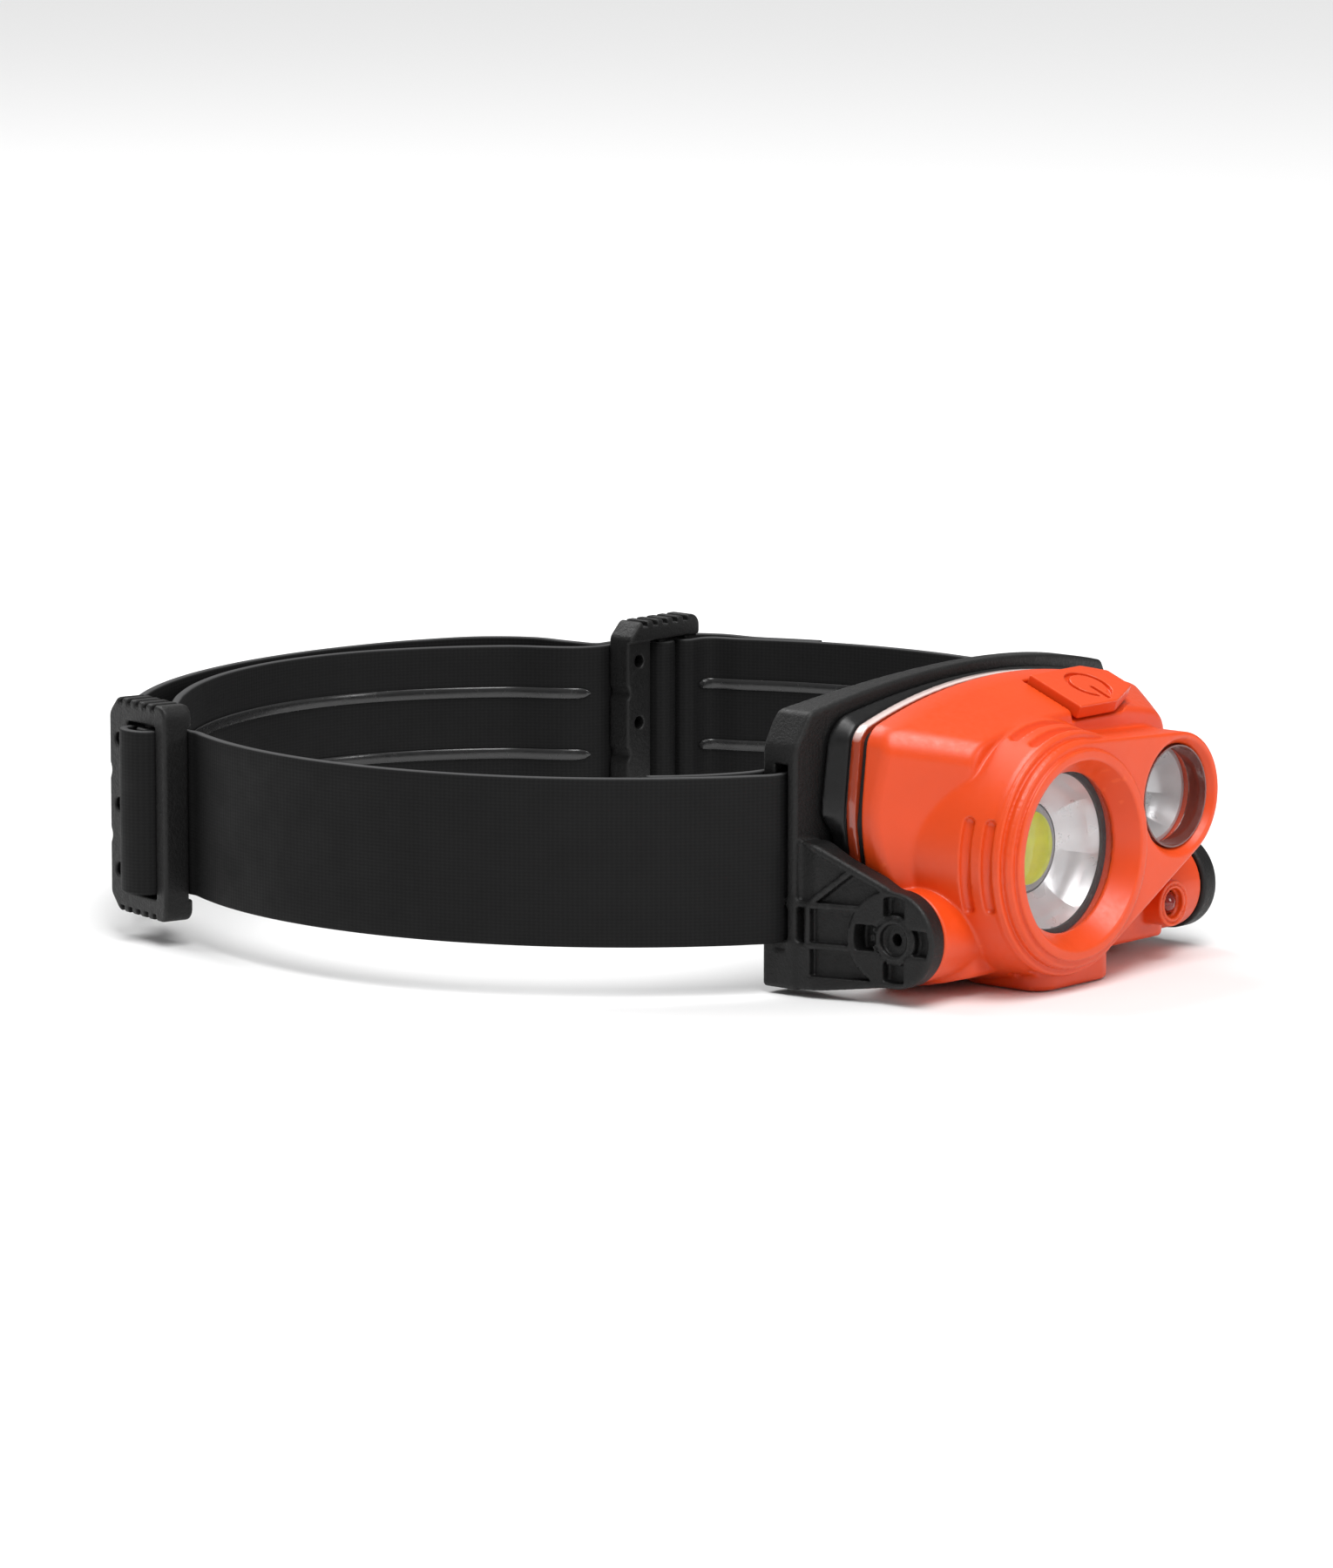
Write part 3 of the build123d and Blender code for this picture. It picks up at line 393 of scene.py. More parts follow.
def mixed_colour(tree, factor, first, second, blend="MIX"):
    """Two colours, each a value or a socket, mixed by a factor."""
    node = tree.nodes.new("ShaderNodeMix")
    node.data_type = "RGBA"
    node.blend_type = blend
    for value, socket in ((factor, node.inputs[0]), (first, node.inputs[6]), (second, node.inputs[7])):
        if isinstance(value, bpy.types.NodeSocket):
            tree.links.new(value, socket)
        else:
            socket.default_value = (*value, 1) if socket.type == "RGBA" else value
    return node.outputs[2]


def combined(tree, operation, first, second):
    """Two values put together by a maths operation."""
    node = tree.nodes.new("ShaderNodeMath")
    node.operation = operation
    tree.links.new(first, node.inputs[0])
    tree.links.new(second, node.inputs[1])
    return node.outputs[0]


def cloudy(tree, scale, detail, first, second):
    """Two colours mixed by a noise."""
    return mixed_colour(tree, ranged(tree, noise(tree, scale, detail), 0, 1), first, second)


def vary_gloss(tree, shader, scale, detail, low, high):
    """Roughness that wanders from low to high with a noise."""
    tree.links.new(ranged(tree, noise(tree, scale, detail), low, high), shader.inputs["Roughness"])


def bump(tree, shader, height, strength, distance):
    """A bump on the shader from a height."""
    node = tree.nodes.new("ShaderNodeBump")
    node.inputs["Strength"].default_value = strength
    node.inputs["Distance"].default_value = distance
    tree.links.new(height, node.inputs["Height"])
    tree.links.new(node.outputs["Normal"], shader.inputs["Normal"])


def painted_top_light(tree, low_colour, high_colour, start, stop):
    """Two colours, the second on the faces that look upwards: painted light falling from above."""
    place = tree.nodes.new("ShaderNodeTexCoord")
    split = tree.nodes.new("ShaderNodeSeparateXYZ")
    tree.links.new(place.outputs["Normal"], split.inputs[0])
    upward = ranged(tree, split.outputs[2], 0, 1, start, stop)
    return mixed_colour(tree, upward, low_colour, high_colour)


def worn_edges(tree):
    """A mask of the mesh's sharp outer edges, broken up by noise."""
    geometry = tree.nodes.new("ShaderNodeNewGeometry")
    edges = ranged(tree, geometry.outputs["Pointiness"], 0.0, 1.0, 0.515, 0.6)
    patches = ranged(tree, noise(tree, 220, 4), 0.4, 1.0, 0.4, 0.65)
    return combined(tree, "MULTIPLY", edges, patches)


def moulded(name, colour, pale, roughness, grain, depth, gloss):
    """Moulded plastic: cloudy colour, paler edges, fine grain."""
    material, tree, shader = new_material(name, colour, roughness, Specular_IOR_Level=gloss)
    cloud = cloudy(tree, 60, 4, colour, tuple(c * 0.9 for c in colour))
    worn = mixed_colour(tree, worn_edges(tree), cloud, pale)
    tree.links.new(worn, shader.inputs["Base Color"])
    vary_gloss(tree, shader, 900, 5, roughness - 0.05, roughness + 0.07)
    bump(tree, shader, noise(tree, grain, 4, 0.6), depth, 0.0002)
    return material


def webbing_material():
    """Close-woven black elastic: fine lengthwise ribs with slight cross threads, painted shade in the
    weave's valleys and a painted sheen on its upward faces.
    """
    material, tree, shader = new_material(
        "webbing", (0.0085, 0.0085, 0.0088), 0.6, Specular_IOR_Level=0.13
    )
    uv = tree.nodes.new("ShaderNodeUVMap")
    heights = []
    for axis, pitch in (("Y", 0.00062), ("X", 0.00085)):
        wave = tree.nodes.new("ShaderNodeTexWave")
        wave.bands_direction = axis
        wave.inputs["Scale"].default_value = math.pi / (10 * pitch)
        wave.inputs["Distortion"].default_value = 0.35
        wave.inputs["Detail"].default_value = 2.0
        tree.links.new(uv.outputs["UV"], wave.inputs["Vector"])
        heights.append(wave.outputs["Fac"])
    weave = combined(tree, "ADD", *heights)
    bump(tree, shader, weave, 0.12, 0.00012)
    # Painted shade: the weave's valleys are coloured darker and its crests lighter.
    shaded_valley, lit_crest = (0.0066, 0.0066, 0.0067), (0.01, 0.01, 0.0102)
    tint = mixed_colour(tree, ranged(tree, weave, 0, 1, 0.2, 1.8), shaded_valley, lit_crest)
    # Painted sheen: the faces that look upwards get a lighter grey added, as if lit from above.
    edge = painted_top_light(tree, (0, 0, 0), (0.055, 0.055, 0.056), 0.45, 0.95)
    tree.links.new(mixed_colour(tree, 1.0, tint, edge, "ADD"), shader.inputs["Base Color"])
    vary_gloss(tree, shader, 140, 3, 0.56, 0.7)
    return material


def foam_material():
    """Soft knitted cover of the forehead pad, with painted shade in its pits."""
    material, tree, shader = new_material("pad_knit", (0.02, 0.02, 0.021), 0.9, Sheen_Weight=0.3)
    cells = tree.nodes.new("ShaderNodeTexVoronoi")
    cells.inputs["Scale"].default_value = 900
    place = tree.nodes.new("ShaderNodeTexCoord")
    tree.links.new(place.outputs["Object"], cells.inputs["Vector"])
    bump(tree, shader, cells.outputs["Distance"], 0.6, 0.0004)
    # Painted shade: the knit's pits, low in the bump, are coloured darker and its ridges lighter.
    tint = mixed_colour(tree, cells.outputs["Distance"], (0.012, 0.012, 0.013), (0.034, 0.034, 0.036))
    tree.links.new(tint, shader.inputs["Base Color"])
    return material


def clear_material(name, tint, alpha, roughness, coat=1.0):
    """Clear polished plastic with faint moulding haze."""
    material, tree, shader = new_material(
        name, tint, roughness, Alpha=alpha, IOR=1.5, Coat_Weight=coat, Coat_Roughness=0.03
    )
    vary_gloss(tree, shader, 300, 2, roughness, roughness + 0.05)
    return material


def ring_material():
    """The clear ring: its sides are painted orange for the casing glowing through them, and its top is
    painted pale as a highlight.
    """
    material, tree, shader = new_material(
        "clear_ring", (0.4, 0.05, 0.015), 0.12, Alpha=0.9, Coat_Weight=1.0, Coat_Roughness=0.04
    )
    # Painted light: the orange side colour stands in for the casing glowing through, the pale top colour
    # is a painted highlight.
    side, top = (0.36, 0.042, 0.012), (0.88, 0.72, 0.68)
    tree.links.new(painted_top_light(tree, side, top, 0.25, 0.7), shader.inputs["Base Color"])
    vary_gloss(tree, shader, 300, 2, 0.08, 0.18)
    return material


def metal_material(name, colour, roughness, streak):
    """Metal with fine streaks."""
    material, tree, shader = new_material(name, colour, roughness, Metallic=1.0)
    vary_gloss(tree, shader, streak, 4, roughness - 0.04, roughness + 0.08)
    bump(tree, shader, noise(tree, streak * 2, 3), 0.06, 0.0001)
    return material


def bowl_material():
    """The bowls' satin coating: half metallic, with a faint uneven haze."""
    material, tree, shader = new_material("bowl_white", (0.62, 0.62, 0.63), 0.3, Metallic=0.5)
    haze = cloudy(tree, 150, 3, (0.66, 0.66, 0.67), (0.56, 0.56, 0.575))
    tree.links.new(haze, shader.inputs["Base Color"])
    vary_gloss(tree, shader, 240, 4, 0.24, 0.38)
    return material


def plain_material(name, colour, roughness, grain=1500, coat=0.0):
    """A small inner part's material: a slightly uneven colour with fine grain."""
    material, tree, shader = new_material(name, colour, roughness, Coat_Weight=coat)
    tint = cloudy(tree, 500, 3, colour, tuple(c * 0.82 for c in colour))
    tree.links.new(tint, shader.inputs["Base Color"])
    bump(tree, shader, noise(tree, grain, 3), 0.08, 0.0001)
    return material


ORANGE = moulded("orange_plastic", (0.76, 0.064, 0.005), (0.78, 0.09, 0.013), 0.38, 2600, 0.04, 0.5)
GRAINED = moulded("grained_black", (0.0066, 0.0065, 0.0065), (0.022, 0.022, 0.022), 0.46, 2000, 0.62, 0.3)
SMOOTH_BLACK = moulded(
    "smooth_black", (0.0075, 0.0075, 0.0077), (0.012, 0.012, 0.0122), 0.34, 3000, 0.04, 0.34
)
WEBBING = webbing_material()
FOAM = foam_material()
SILICONE = moulded("silicone", (0.018, 0.018, 0.0182), (0.03, 0.03, 0.03), 0.22, 1800, 0.05, 0.6)
RUBBER = plain_material("seal_rubber", (0.006, 0.006, 0.0062), 0.7)
CLEAR = clear_material("clear_window", (0.93, 0.94, 0.96), 0.03, 0.04, 0.4)
CLEAR_RING = ring_material()
SMOKED = clear_material("smoked_cup", (0.16, 0.03, 0.02), 0.8, 0.12)
RED_CLEAR = clear_material("red_dome", (0.24, 0.012, 0.007), 0.9, 0.08, 0.5)
BOWL = bowl_material()
PHOSPHOR = plain_material("phosphor", (0.6, 0.68, 0.008), 0.32, 2500, 0.6)
EMITTER_RING = plain_material("emitter_ring", (0.32, 0.33, 0.34), 0.45)
STEEL = metal_material("zinc_steel", (0.55, 0.55, 0.56), 0.32, 400)
ALUMINIUM = metal_material("bare_aluminium", (0.75, 0.75, 0.76), 0.35, 600)
BOARD = plain_material("board_mask", (0.012, 0.1, 0.04), 0.35, 800, 0.3)
CELL_WRAP = plain_material("cell_wrap", (0.03, 0.07, 0.22), 0.3, 300, 0.3)


# ---- lamp casing


def casing_outline(x, z, inset=0.0):
    """The casing's front outline: leaning sides and an arched top."""
    side = np.abs(x)
    corners = [(37.0, 24.0), (39.2, 6.0), (37.3, -5.0), (34.0, -19.5), (29.0, -23.6)]
    faces = all_of([-edge_plane(side, z, p, q) for p, q in zip(corners, corners[1:])], 1.6)
    arch = np.hypot(x, z - (CASING_TOP - CASING_ARCH)) - CASING_ARCH
    return rounded(rounded(faces, arch, 2.6), CASING_BOTTOM - z, 1.2) + inset


def casing_nose(x, y, z, inset=0.0):
    """The block of the casing in front of the crease."""
    side = np.abs(x)
    cheek = (side - 38.6) * 0.768 - (y - CREASE_Y) * 0.64
    crown = z - 28.7 + x * x / 236.0
    roof = crown * math.cos(ROOF_SLOPE) - (y - CREASE_Y) * math.sin(ROOF_SLOPE)
    chin = -(z + 23.6) * 0.971 - (y - CREASE_Y) * 0.237
    shape = rounded(cheek, roof, 3.4)
    shape = all_of([shape, chin, FACE_Y - y], 1.0) + inset
    return rounded(shape, casing_outline(x, z, inset), 0.8)


def flare_radius(y):
    """The barrel's radius, which grows towards the casing."""
    return FLARE_RADIUS + 0.19 * np.maximum(y - FLARE_Y, 0)


def arc_groove(x, y, z, depth_y, middle, half_angle, size):
    """A short groove round the barrel, centred on the angle middle."""
    angle = np.arctan2(z - MAIN_Z, x - MAIN_X)
    turn = np.angle(np.exp(1j * (angle - middle)))
    nearest = middle + np.clip(turn, -half_angle, half_angle)
    radius = float(flare_radius(depth_y)) + 0.1
    dx = x - MAIN_X - radius * np.cos(nearest)
    dz = z - MAIN_Z - radius * np.sin(nearest)
    return np.sqrt(dx * dx + dz * dz + (y - depth_y) ** 2) - size


def figure_eight(x, z, first, second):
    """The outline round two circles and their outer tangents; circles are (x, z, radius)."""
    ax, az, r1 = first
    bx, bz, r2 = second
    gap = math.hypot(bx - ax, bz - az)
    ux, uz = (bx - ax) / gap, (bz - az) / gap
    along = (x - ax) * ux + (z - az) * uz
    away = np.abs((z - az) * ux - (x - ax) * uz)
    lean = (r1 - r2) / gap
    rise = math.sqrt(1 - lean * lean)
    level = -lean * away + rise * along
    near = np.hypot(along, away) - r1
    far = np.hypot(along - gap, away) - r2
    flank = rise * away + lean * along - r1
    return np.where(level < 0, near, np.where(level > rise * gap, far, flank))


def button_frame(x, y, z):
    """Coordinates on the roof under the button: sideways, up the slope and outwards."""
    dy = y - BUTTON_AT[1]
    dz = z - BUTTON_AT[2]
    up = dy * math.cos(ROOF_SLOPE) + dz * math.sin(ROOF_SLOPE)
    out = dz * math.cos(ROOF_SLOPE) - dy * math.sin(ROOF_SLOPE)
    return x - BUTTON_AT[0], up, out


def button_outline(across, up, grow):
    """The button's outline, a rectangle with two cut corners, moved outwards by grow."""
    points = [(-9.6, 6.2), (5.0, 6.2), (9.6, 3.2), (9.6, -2.6), (1.4, -6.2), (-9.6, -6.2)]
    return polygon_field(across, up, points, 0.3) - grow


def shell_field(x, y, z):
    """The orange front shell."""
    rho = np.hypot(x - MAIN_X, z - MAIN_Z)
    flare = both((rho - flare_radius(y)) * 0.98, span(y, -107.4, -88), 0.5)
    flare = both(flare, casing_outline(x, z, 0.3), 1.0)
    body = join(casing_nose(x, y, z), flare, 0.3)
    body = join(body, hinge_rod(x, y, z, LUG_RADIUS, 8, LUG_FACE_X, 0.5), 0.5)
    eight = figure_eight(x, z, (MAIN_X, MAIN_Z, 20.0), (SPOT_X, SPOT_Z, SPOT_RADIUS))
    body = join(body, both(eight, span(y, FASCIA_Y, -90), 0.5), 0.7)
    body = join(body, both(rho - BARREL_RADIUS, span(y, BARREL_FRONT_Y, -90), 0.2), 0.1)
    for radius, front in BARREL_RINGS:
        body = join(body, both(rho - radius, span(y, front, -90), 0.18), 0.08)
    spot = np.hypot(x - SPOT_X, z - SPOT_Z)
    boss = np.hypot(x - BOSS_X, z - BOSS_Z)
    body = join(body, both(boss - BOSS_RADIUS, span(y, BOSS_Y, -90), 0.5), 0.5)
    quarter = math.pi / 2
    for depth_y in GROOVE_ROWS_Y:
        for middle in (2 * quarter, quarter + 0.03, -quarter - 0.03):
            body = cut(body, arc_groove(x, y, z, depth_y, middle, 0.34, 1.1), 0.15)
    walls = rounded(span(x, *BLOCK_X), span(y, *BLOCK_Y), BLOCK_CORNER)
    block = rounded(walls, span(z, BLOCK_BOTTOM, -12), 1.0)
    body = join(body, block, 0.8)
    body = both(body, span(y, -120, SHELL_REAR_Y), 0.4)
    return shell_cuts(x, y, z, body, rho, spot, boss)


def shell_cuts(x, y, z, body, rho, spot, boss):
    """Takes the bores, the hollow, the grooves and the button's pocket out of the shell."""
    hollow = casing_nose(x, y, z, WALL)
    sockets = hinge_rod(x, y, z, LUG_RADIUS + 1, 29.5, 50)
    body = cut(body, cut(hollow, sockets))
    mouth = MOUTH_RADIUS - MOUTH_TAPER * np.clip((y - BARREL_LIP_Y) / MOUTH_DEPTH, 0, 1)
    funnel = SPOT_MOUTH - 0.75 * np.clip(y - FASCIA_Y, 0, 1.8)
    for away, front, back, blend in (
        (rho - mouth, -112, -105.2, 0.25),
        (rho - MAIN_BORE, -105.45, -84, 0),
        (spot - funnel, -112, -107.5, 0.3),
        (spot - SPOT_BORE, -109.0, -90, 0.3),
        (np.abs(boss - 3.45) - 0.16, -107, BOSS_Y + 0.35, 0.1),
        (boss - 2.75, -107, BOSS_Y + 1.3, 0.25),
        (boss - BOSS_BORE, -107, -98.5, 0),
    ):
        body = cut(body, both(away, span(y, front, back)), blend)
    seat = hinge_rod(x, y, z, 5.4, LUG_FACE_X - 1.5, 60)
    seat = join(seat, hinge_rod(x, y, z, SOCKET_RADIUS, LUG_FACE_X - 5.1, 60))
    body = cut(body, seat, 0.2)
    across, up, out = button_frame(x, y, z)
    pocket = both(button_outline(across, up, 0.7), span(out, -1.6, 12), 0.15)
    body = cut(body, pocket, 0.15)
    return cut(body, box_field(x, y, z, PORT_LOW, PORT_HIGH), 0.2)


def button_field(x, y, z):
    """The power button's cap, with the generic power symbol cut into it."""
    across, up, out = button_frame(x, y, z)
    cap = rounded(button_outline(across, up, 0.0), span(out, -0.9, 1.65), 0.3)
    ring = np.abs(np.hypot(across, up) - 4.0) - 0.5
    opening = both(np.abs(across) - 1.3, up)
    bar = both(np.abs(across) - 0.5, span(up, -5.2, -0.6))
    symbol = join(cut(ring, opening), bar)
    return cut(cap, both(symbol, 0.85 - out), 0.08)


def ring_field(x, y, z):
    """The clear ring between the casing halves."""
    wall = cut(casing_outline(x, z, 0.3), casing_outline(x, z, 3.4), 0.2)
    return both(wall, span(y, RING_FRONT_Y, RING_REAR_Y), 0.5)


def cover_field(x, y, z):
    """The black rear cover."""
    outer_radius = FRONT_RADIUS + COVER_GAP
    centre_y = FRONT_FACE_Y + FRONT_RADIUS
    back = outer_radius - np.hypot(x, y - centre_y)
    swing = np.minimum(HINGE_Z - z, np.hypot(y - HINGE_Y, z - HINGE_Z) - 16.2)
    flare = 0.62 * np.clip(y - COVER_FRONT_Y, 0, 5) * np.clip((z - 3.5) / 4.0, 0, 1)
    shape = both(casing_outline(x, z, 0.55) - flare, span(y, COVER_FRONT_Y, -60), 0.5)
    shape = both(shape, back, 0.9)
    shape = both(shape, swing, 0.6)
    inner_back = outer_radius + 2.0 - np.hypot(x, y - centre_y)
    hollow = both(casing_outline(x, z, 3.2), inner_back, 0.4)
    panel = all_of([casing_outline(x, z, 3.5), back, span(y, -80.6, -60), swing], 0.4)
    shape = join(shape, panel)
    shape = cut(shape, hollow, 0.2)
    for sx, sz in SCREWS:
        hole = rod(np.abs(x) - sx, z - sz, y, SCREW_HOLE, -77.7, -60)
        shape = cut(shape, hole, 0.2)
    return shape


# ---- bracket and adjusters


def bracket_arch(x, z):
    """Distance above the bracket's arched top edge."""
    return np.hypot(x, z - (BRACKET_TOP - BRACKET_ARCH)) - BRACKET_ARCH


def bracket_field(x, y, z):
    """The bracket: curved tray, strap bars, ribbed arms, hinge discs and trunnions."""
    side = np.abs(x)
    front = np.hypot(x, y - (FRONT_FACE_Y + FRONT_RADIUS)) - FRONT_RADIUS
    rear = REAR_RADIUS - np.hypot(x, y - (REAR_FACE_Y + REAR_RADIUS))
    rear = np.maximum(rear, y - BAR_REAR_Y)
    arch = bracket_arch(x, z)
    corner_low = (BRACKET_HALF, BRACKET_CORNER_Z - 6.0)
    corner_high = (BRACKET_HALF - 3.6, BRACKET_CORNER_Z)
    corner = edge_plane(side, z, corner_low, corner_high)
    view = all_of([arch, corner, side - BRACKET_HALF, BRACKET_BOTTOM - z], 0.6)
    notch_side = side - 36.6 - 0.1 * np.clip(-z, 0, 25)
    notch = both(notch_side, z + 1.0, 4.0)
    view = cut(view, notch, 0.8)
    plate = all_of([both(front, rear, 0.4), view], 0.7)
    # tray_front is negative behind the front wall, where the tray is hollow
    tray_front = np.hypot(x, y - (FRONT_FACE_Y + BRACKET_WALL + FRONT_RADIUS)) - FRONT_RADIUS
    tray = all_of([side - 34.5, arch + 2.8, 1.6 - z, tray_front], 1.0)
    plate = cut(plate, tray, 0.3)
    plate = cut(plate, strap_slots(x, y, z), 0.35)
    whole = join(plate, arm_field(side, y, z), 0.8)
    stub = hinge_rod(x, y, z, TRUNNION_RADIUS, LUG_FACE_X - 4.2, DISC_FACE_X - 2, 0.3)
    whole = join(whole, stub, 0.2)
    return cut(whole, hinge_rod(x, y, z, 1.05, 30, 50), 0.15)


def strap_slots(x, y, z):
    """The slots before both strap bars and the ways round the bars' inner ends."""
    side = np.abs(x)
    half = SLOT_HALF_HEIGHT
    slot = box_field(side, y, z, (38.2, SLOT_FRONT_Y, -half), (60, SLOT_REAR_Y, half), 0.2)
    way = box_field(side, y, z, (38.2, SLOT_FRONT_Y, -half), (41.4, -50, half), 0.2)
    return join(slot, way)


def arm_field(side, y, z):
    """One arm and its disc, given by the distance from the middle plane."""
    outer = np.maximum(side - ARM_LIMIT_X, arm_outer(side, y))
    inner_face = DISC_FACE_X - DISC_THICK + 2.2 * np.clip((y + 88.5) / 6.0, 0, 1)
    slab = both(outer, inner_face - side, 0.5)
    radius = np.hypot(y - HINGE_Y, z - HINGE_Z)
    disc = radius - DISC_RADIUS
    top = edge_plane(y, z, (-77.5, 3.2), (-91.2, -3.6))
    low_edge = edge_plane(y, z, (-91.0, -21.3), (-77.5, BRACKET_BOTTOM))
    web = all_of([top, z - 3.2, BRACKET_BOTTOM - z, y + 67.0, HINGE_Y - y, low_edge], 0.6)
    shape = rounded(join(disc, web, 0.5), slab, 0.7)
    return arm_relief(side, y, z, shape, radius)


def arm_outer(side, y):
    """Distance outside the arm's outer face, which leans in towards the disc."""
    reach = 13.0
    lean = (45.4 - DISC_FACE_X) / reach
    face = DISC_FACE_X + lean * np.clip(y + 90.5, 0, reach)
    return (side - face) * 0.96


def arm_relief(side, y, z, shape, radius):
    """Sinks the arm's outer face between its ribs and cuts the disc's face."""
    skin = arm_outer(side, y)
    rim = edge_plane(y, z, (-76.5, 2.2), (-91.6, -5.2))
    diagonal = edge_plane(y, z, (-76.3, -7.9), (-84.2, -1.4))
    half = 0.55
    upper = z + 7.7 - half
    fields = [
        (all_of([rim, -upper, y + 68.9, half - diagonal]), 1.0),
        (all_of([rim, -upper, half + diagonal]), 1.5),
        (all_of([span(y, -90, -76.3 - half), span(z, -14.9 + half, -7.7 - half)]), 1.6),
        (all_of([span(y, -90, -76.3 - half), span(z, -20.9 + half, -14.9 - half)]), 1.6),
        (all_of([span(y, -76.3 + half, -69.4), span(z, -14.6, -7.7 - half)]), 2.2),
    ]
    for field, depth in fields:
        pocket = all_of([field, DISC_RADIUS + 0.15 - radius, -(skin + depth)], 0.2)
        shape = cut(shape, pocket, 0.2)
    face = side - DISC_FACE_X
    ring = both(np.abs(radius - 6.05) - 1.6, -(face + 1.9))
    angle = np.arctan2(z - HINGE_Z, y - HINGE_Y)
    turn = np.abs(np.angle(np.exp(4j * angle))) / 4
    notches = both(ring, radius * np.sin(turn) - 2.3, 0.15)
    shape = cut(shape, notches, 0.2)
    shape = cut(shape, both(radius - 2.9, -(face + 1.1)), 0.2)
    return cut(shape, both(np.abs(radius - 3.95) - 0.18, -(face + 0.35)), 0.1)


def adjuster_field(x, y, z):
    """The strap frame in its own axes: x to the back of the head, y outwards."""
    half = FRAME_LENGTH / 2
    tall = FRAME_HEIGHT / 2
    opening = tall - RAIL_WIDTH
    outline = all_of(
        [
            np.abs(x) - half,
            np.abs(z) - tall,
            (x + np.abs(z) - (half + tall - 3.0)) / math.sqrt(2),
            (-x + np.abs(z) - (half + tall - 1.3)) / math.sqrt(2),
        ],
        0.6,
    )
    low = -FRAME_THICK / 2
    shape = both(outline, span(y, low - RAIL_RAISE, -low), 0.7)
    recess = both(y - low, np.abs(z) - opening)
    shape = cut(shape, recess, 0.5)
    window = both(span(x, -half + LAMP_BAR, half - HOLED_BAR), np.abs(z) - opening, 0.6)
    shape = cut(shape, window, 0.45)
    bar_front = np.abs(x - CENTRE_BAR_X) - CENTRE_BAR_WIDTH / 2
    bar = all_of([bar_front, np.abs(y) - 1.2, np.abs(z) - opening - 0.4], 0.8)
    shape = join(shape, bar, 0.3)
    for number in range(NOTCH_COUNT + 1):
        notch = both(np.abs(x - (-half + 4.2 + number * 2.9)) - 0.7, tall - 1.2 - np.abs(z), 0.2)
        shape = cut(shape, notch, 0.12)
    for step in (-1, 0, 1):
        hole = np.hypot(x - (half - HOLED_BAR / 2), z - step * HOLE_PITCH) - HOLE_RADIUS
        shape = cut(shape, hole, 0.3)
        dent = np.hypot(x - (half + 1.0), z - (step + 0.5) * HOLE_PITCH) - 1.7
        shape = cut(shape, dent, 0.4)
    return shape


def placed(piece, origin, back, upright):
    """Turns a piece made in an adjuster's own axes to its place on the loop."""
    along = Vector((*back, 0)).normalized()
    up = Vector((0, 0, upright))
    out = up.cross(along)
    turn = Matrix((along, out, up)).transposed().to_4x4()
    piece.data.transform(Matrix.Translation(Vector((*origin, 0)) * MM) @ turn)
    return piece


def pad_field(x, y, z):
    """The forehead pad: a soft crowned block with two pressed lines."""
    side = np.abs(x)
    proud = 3.0
    crown = 0.0006 * x * x + 0.006 * (z - 14.0) ** 2
    press = 0.8 * np.exp(-((side - 11.5) / 0.9) ** 2)
    rear = REAR_RADIUS - proud - np.hypot(x, y - (REAR_FACE_Y + REAR_RADIUS)) + crown + press
    front = FRONT_FACE_Y + BRACKET_WALL + 0.2 + x * x / (2 * FRONT_RADIUS)
    return all_of([side - 34.1, bracket_arch(x, z) + 3.2, 2.0 - z, rear, front - y], 2.0)


# ---- straps


def loop_point(degrees, offset=0.0):
    """A point of the head loop, moved outwards by offset."""
    angle = math.radians(degrees)
    normal = np.array((math.cos(angle) / LOOP_X, math.sin(angle) / LOOP_Y))
    normal = normal / np.linalg.norm(normal)
    spot = np.array((LOOP_X * math.cos(angle), LOOP_CENTRE_Y + LOOP_Y * math.sin(angle)))
    return tuple(spot + offset * normal)


def local_points(origin, back, points):
    """Points given as (towards the back, outwards) from an adjuster's centre."""
    along = back / np.linalg.norm(back)
    outward = np.array((-along[1], along[0]))
    if outward @ origin < 0:
        outward = -outward
    return [tuple(origin + along * x + outward * y) for x, y in points]


def bracket_hem(side):
    """The strap's hem round one of the bracket's bars, from its sewn end outwards."""
    sewn = [loop_point(222, -2.3), loop_point(226, -2.3), (-51.5, -63.2), (-46.8, -65.2)]
    turn = [(-44.0, -65.6), (-42.2, -65.6), (-40.7, -66.1), (-40.3, -67.9)]
    back = [(-40.7, -69.7), (-42.2, -70.2), (-44.4, -70.3), (-46.3, -70.4)]
    return [(-side * x, y) for x, y in sewn + turn + back]


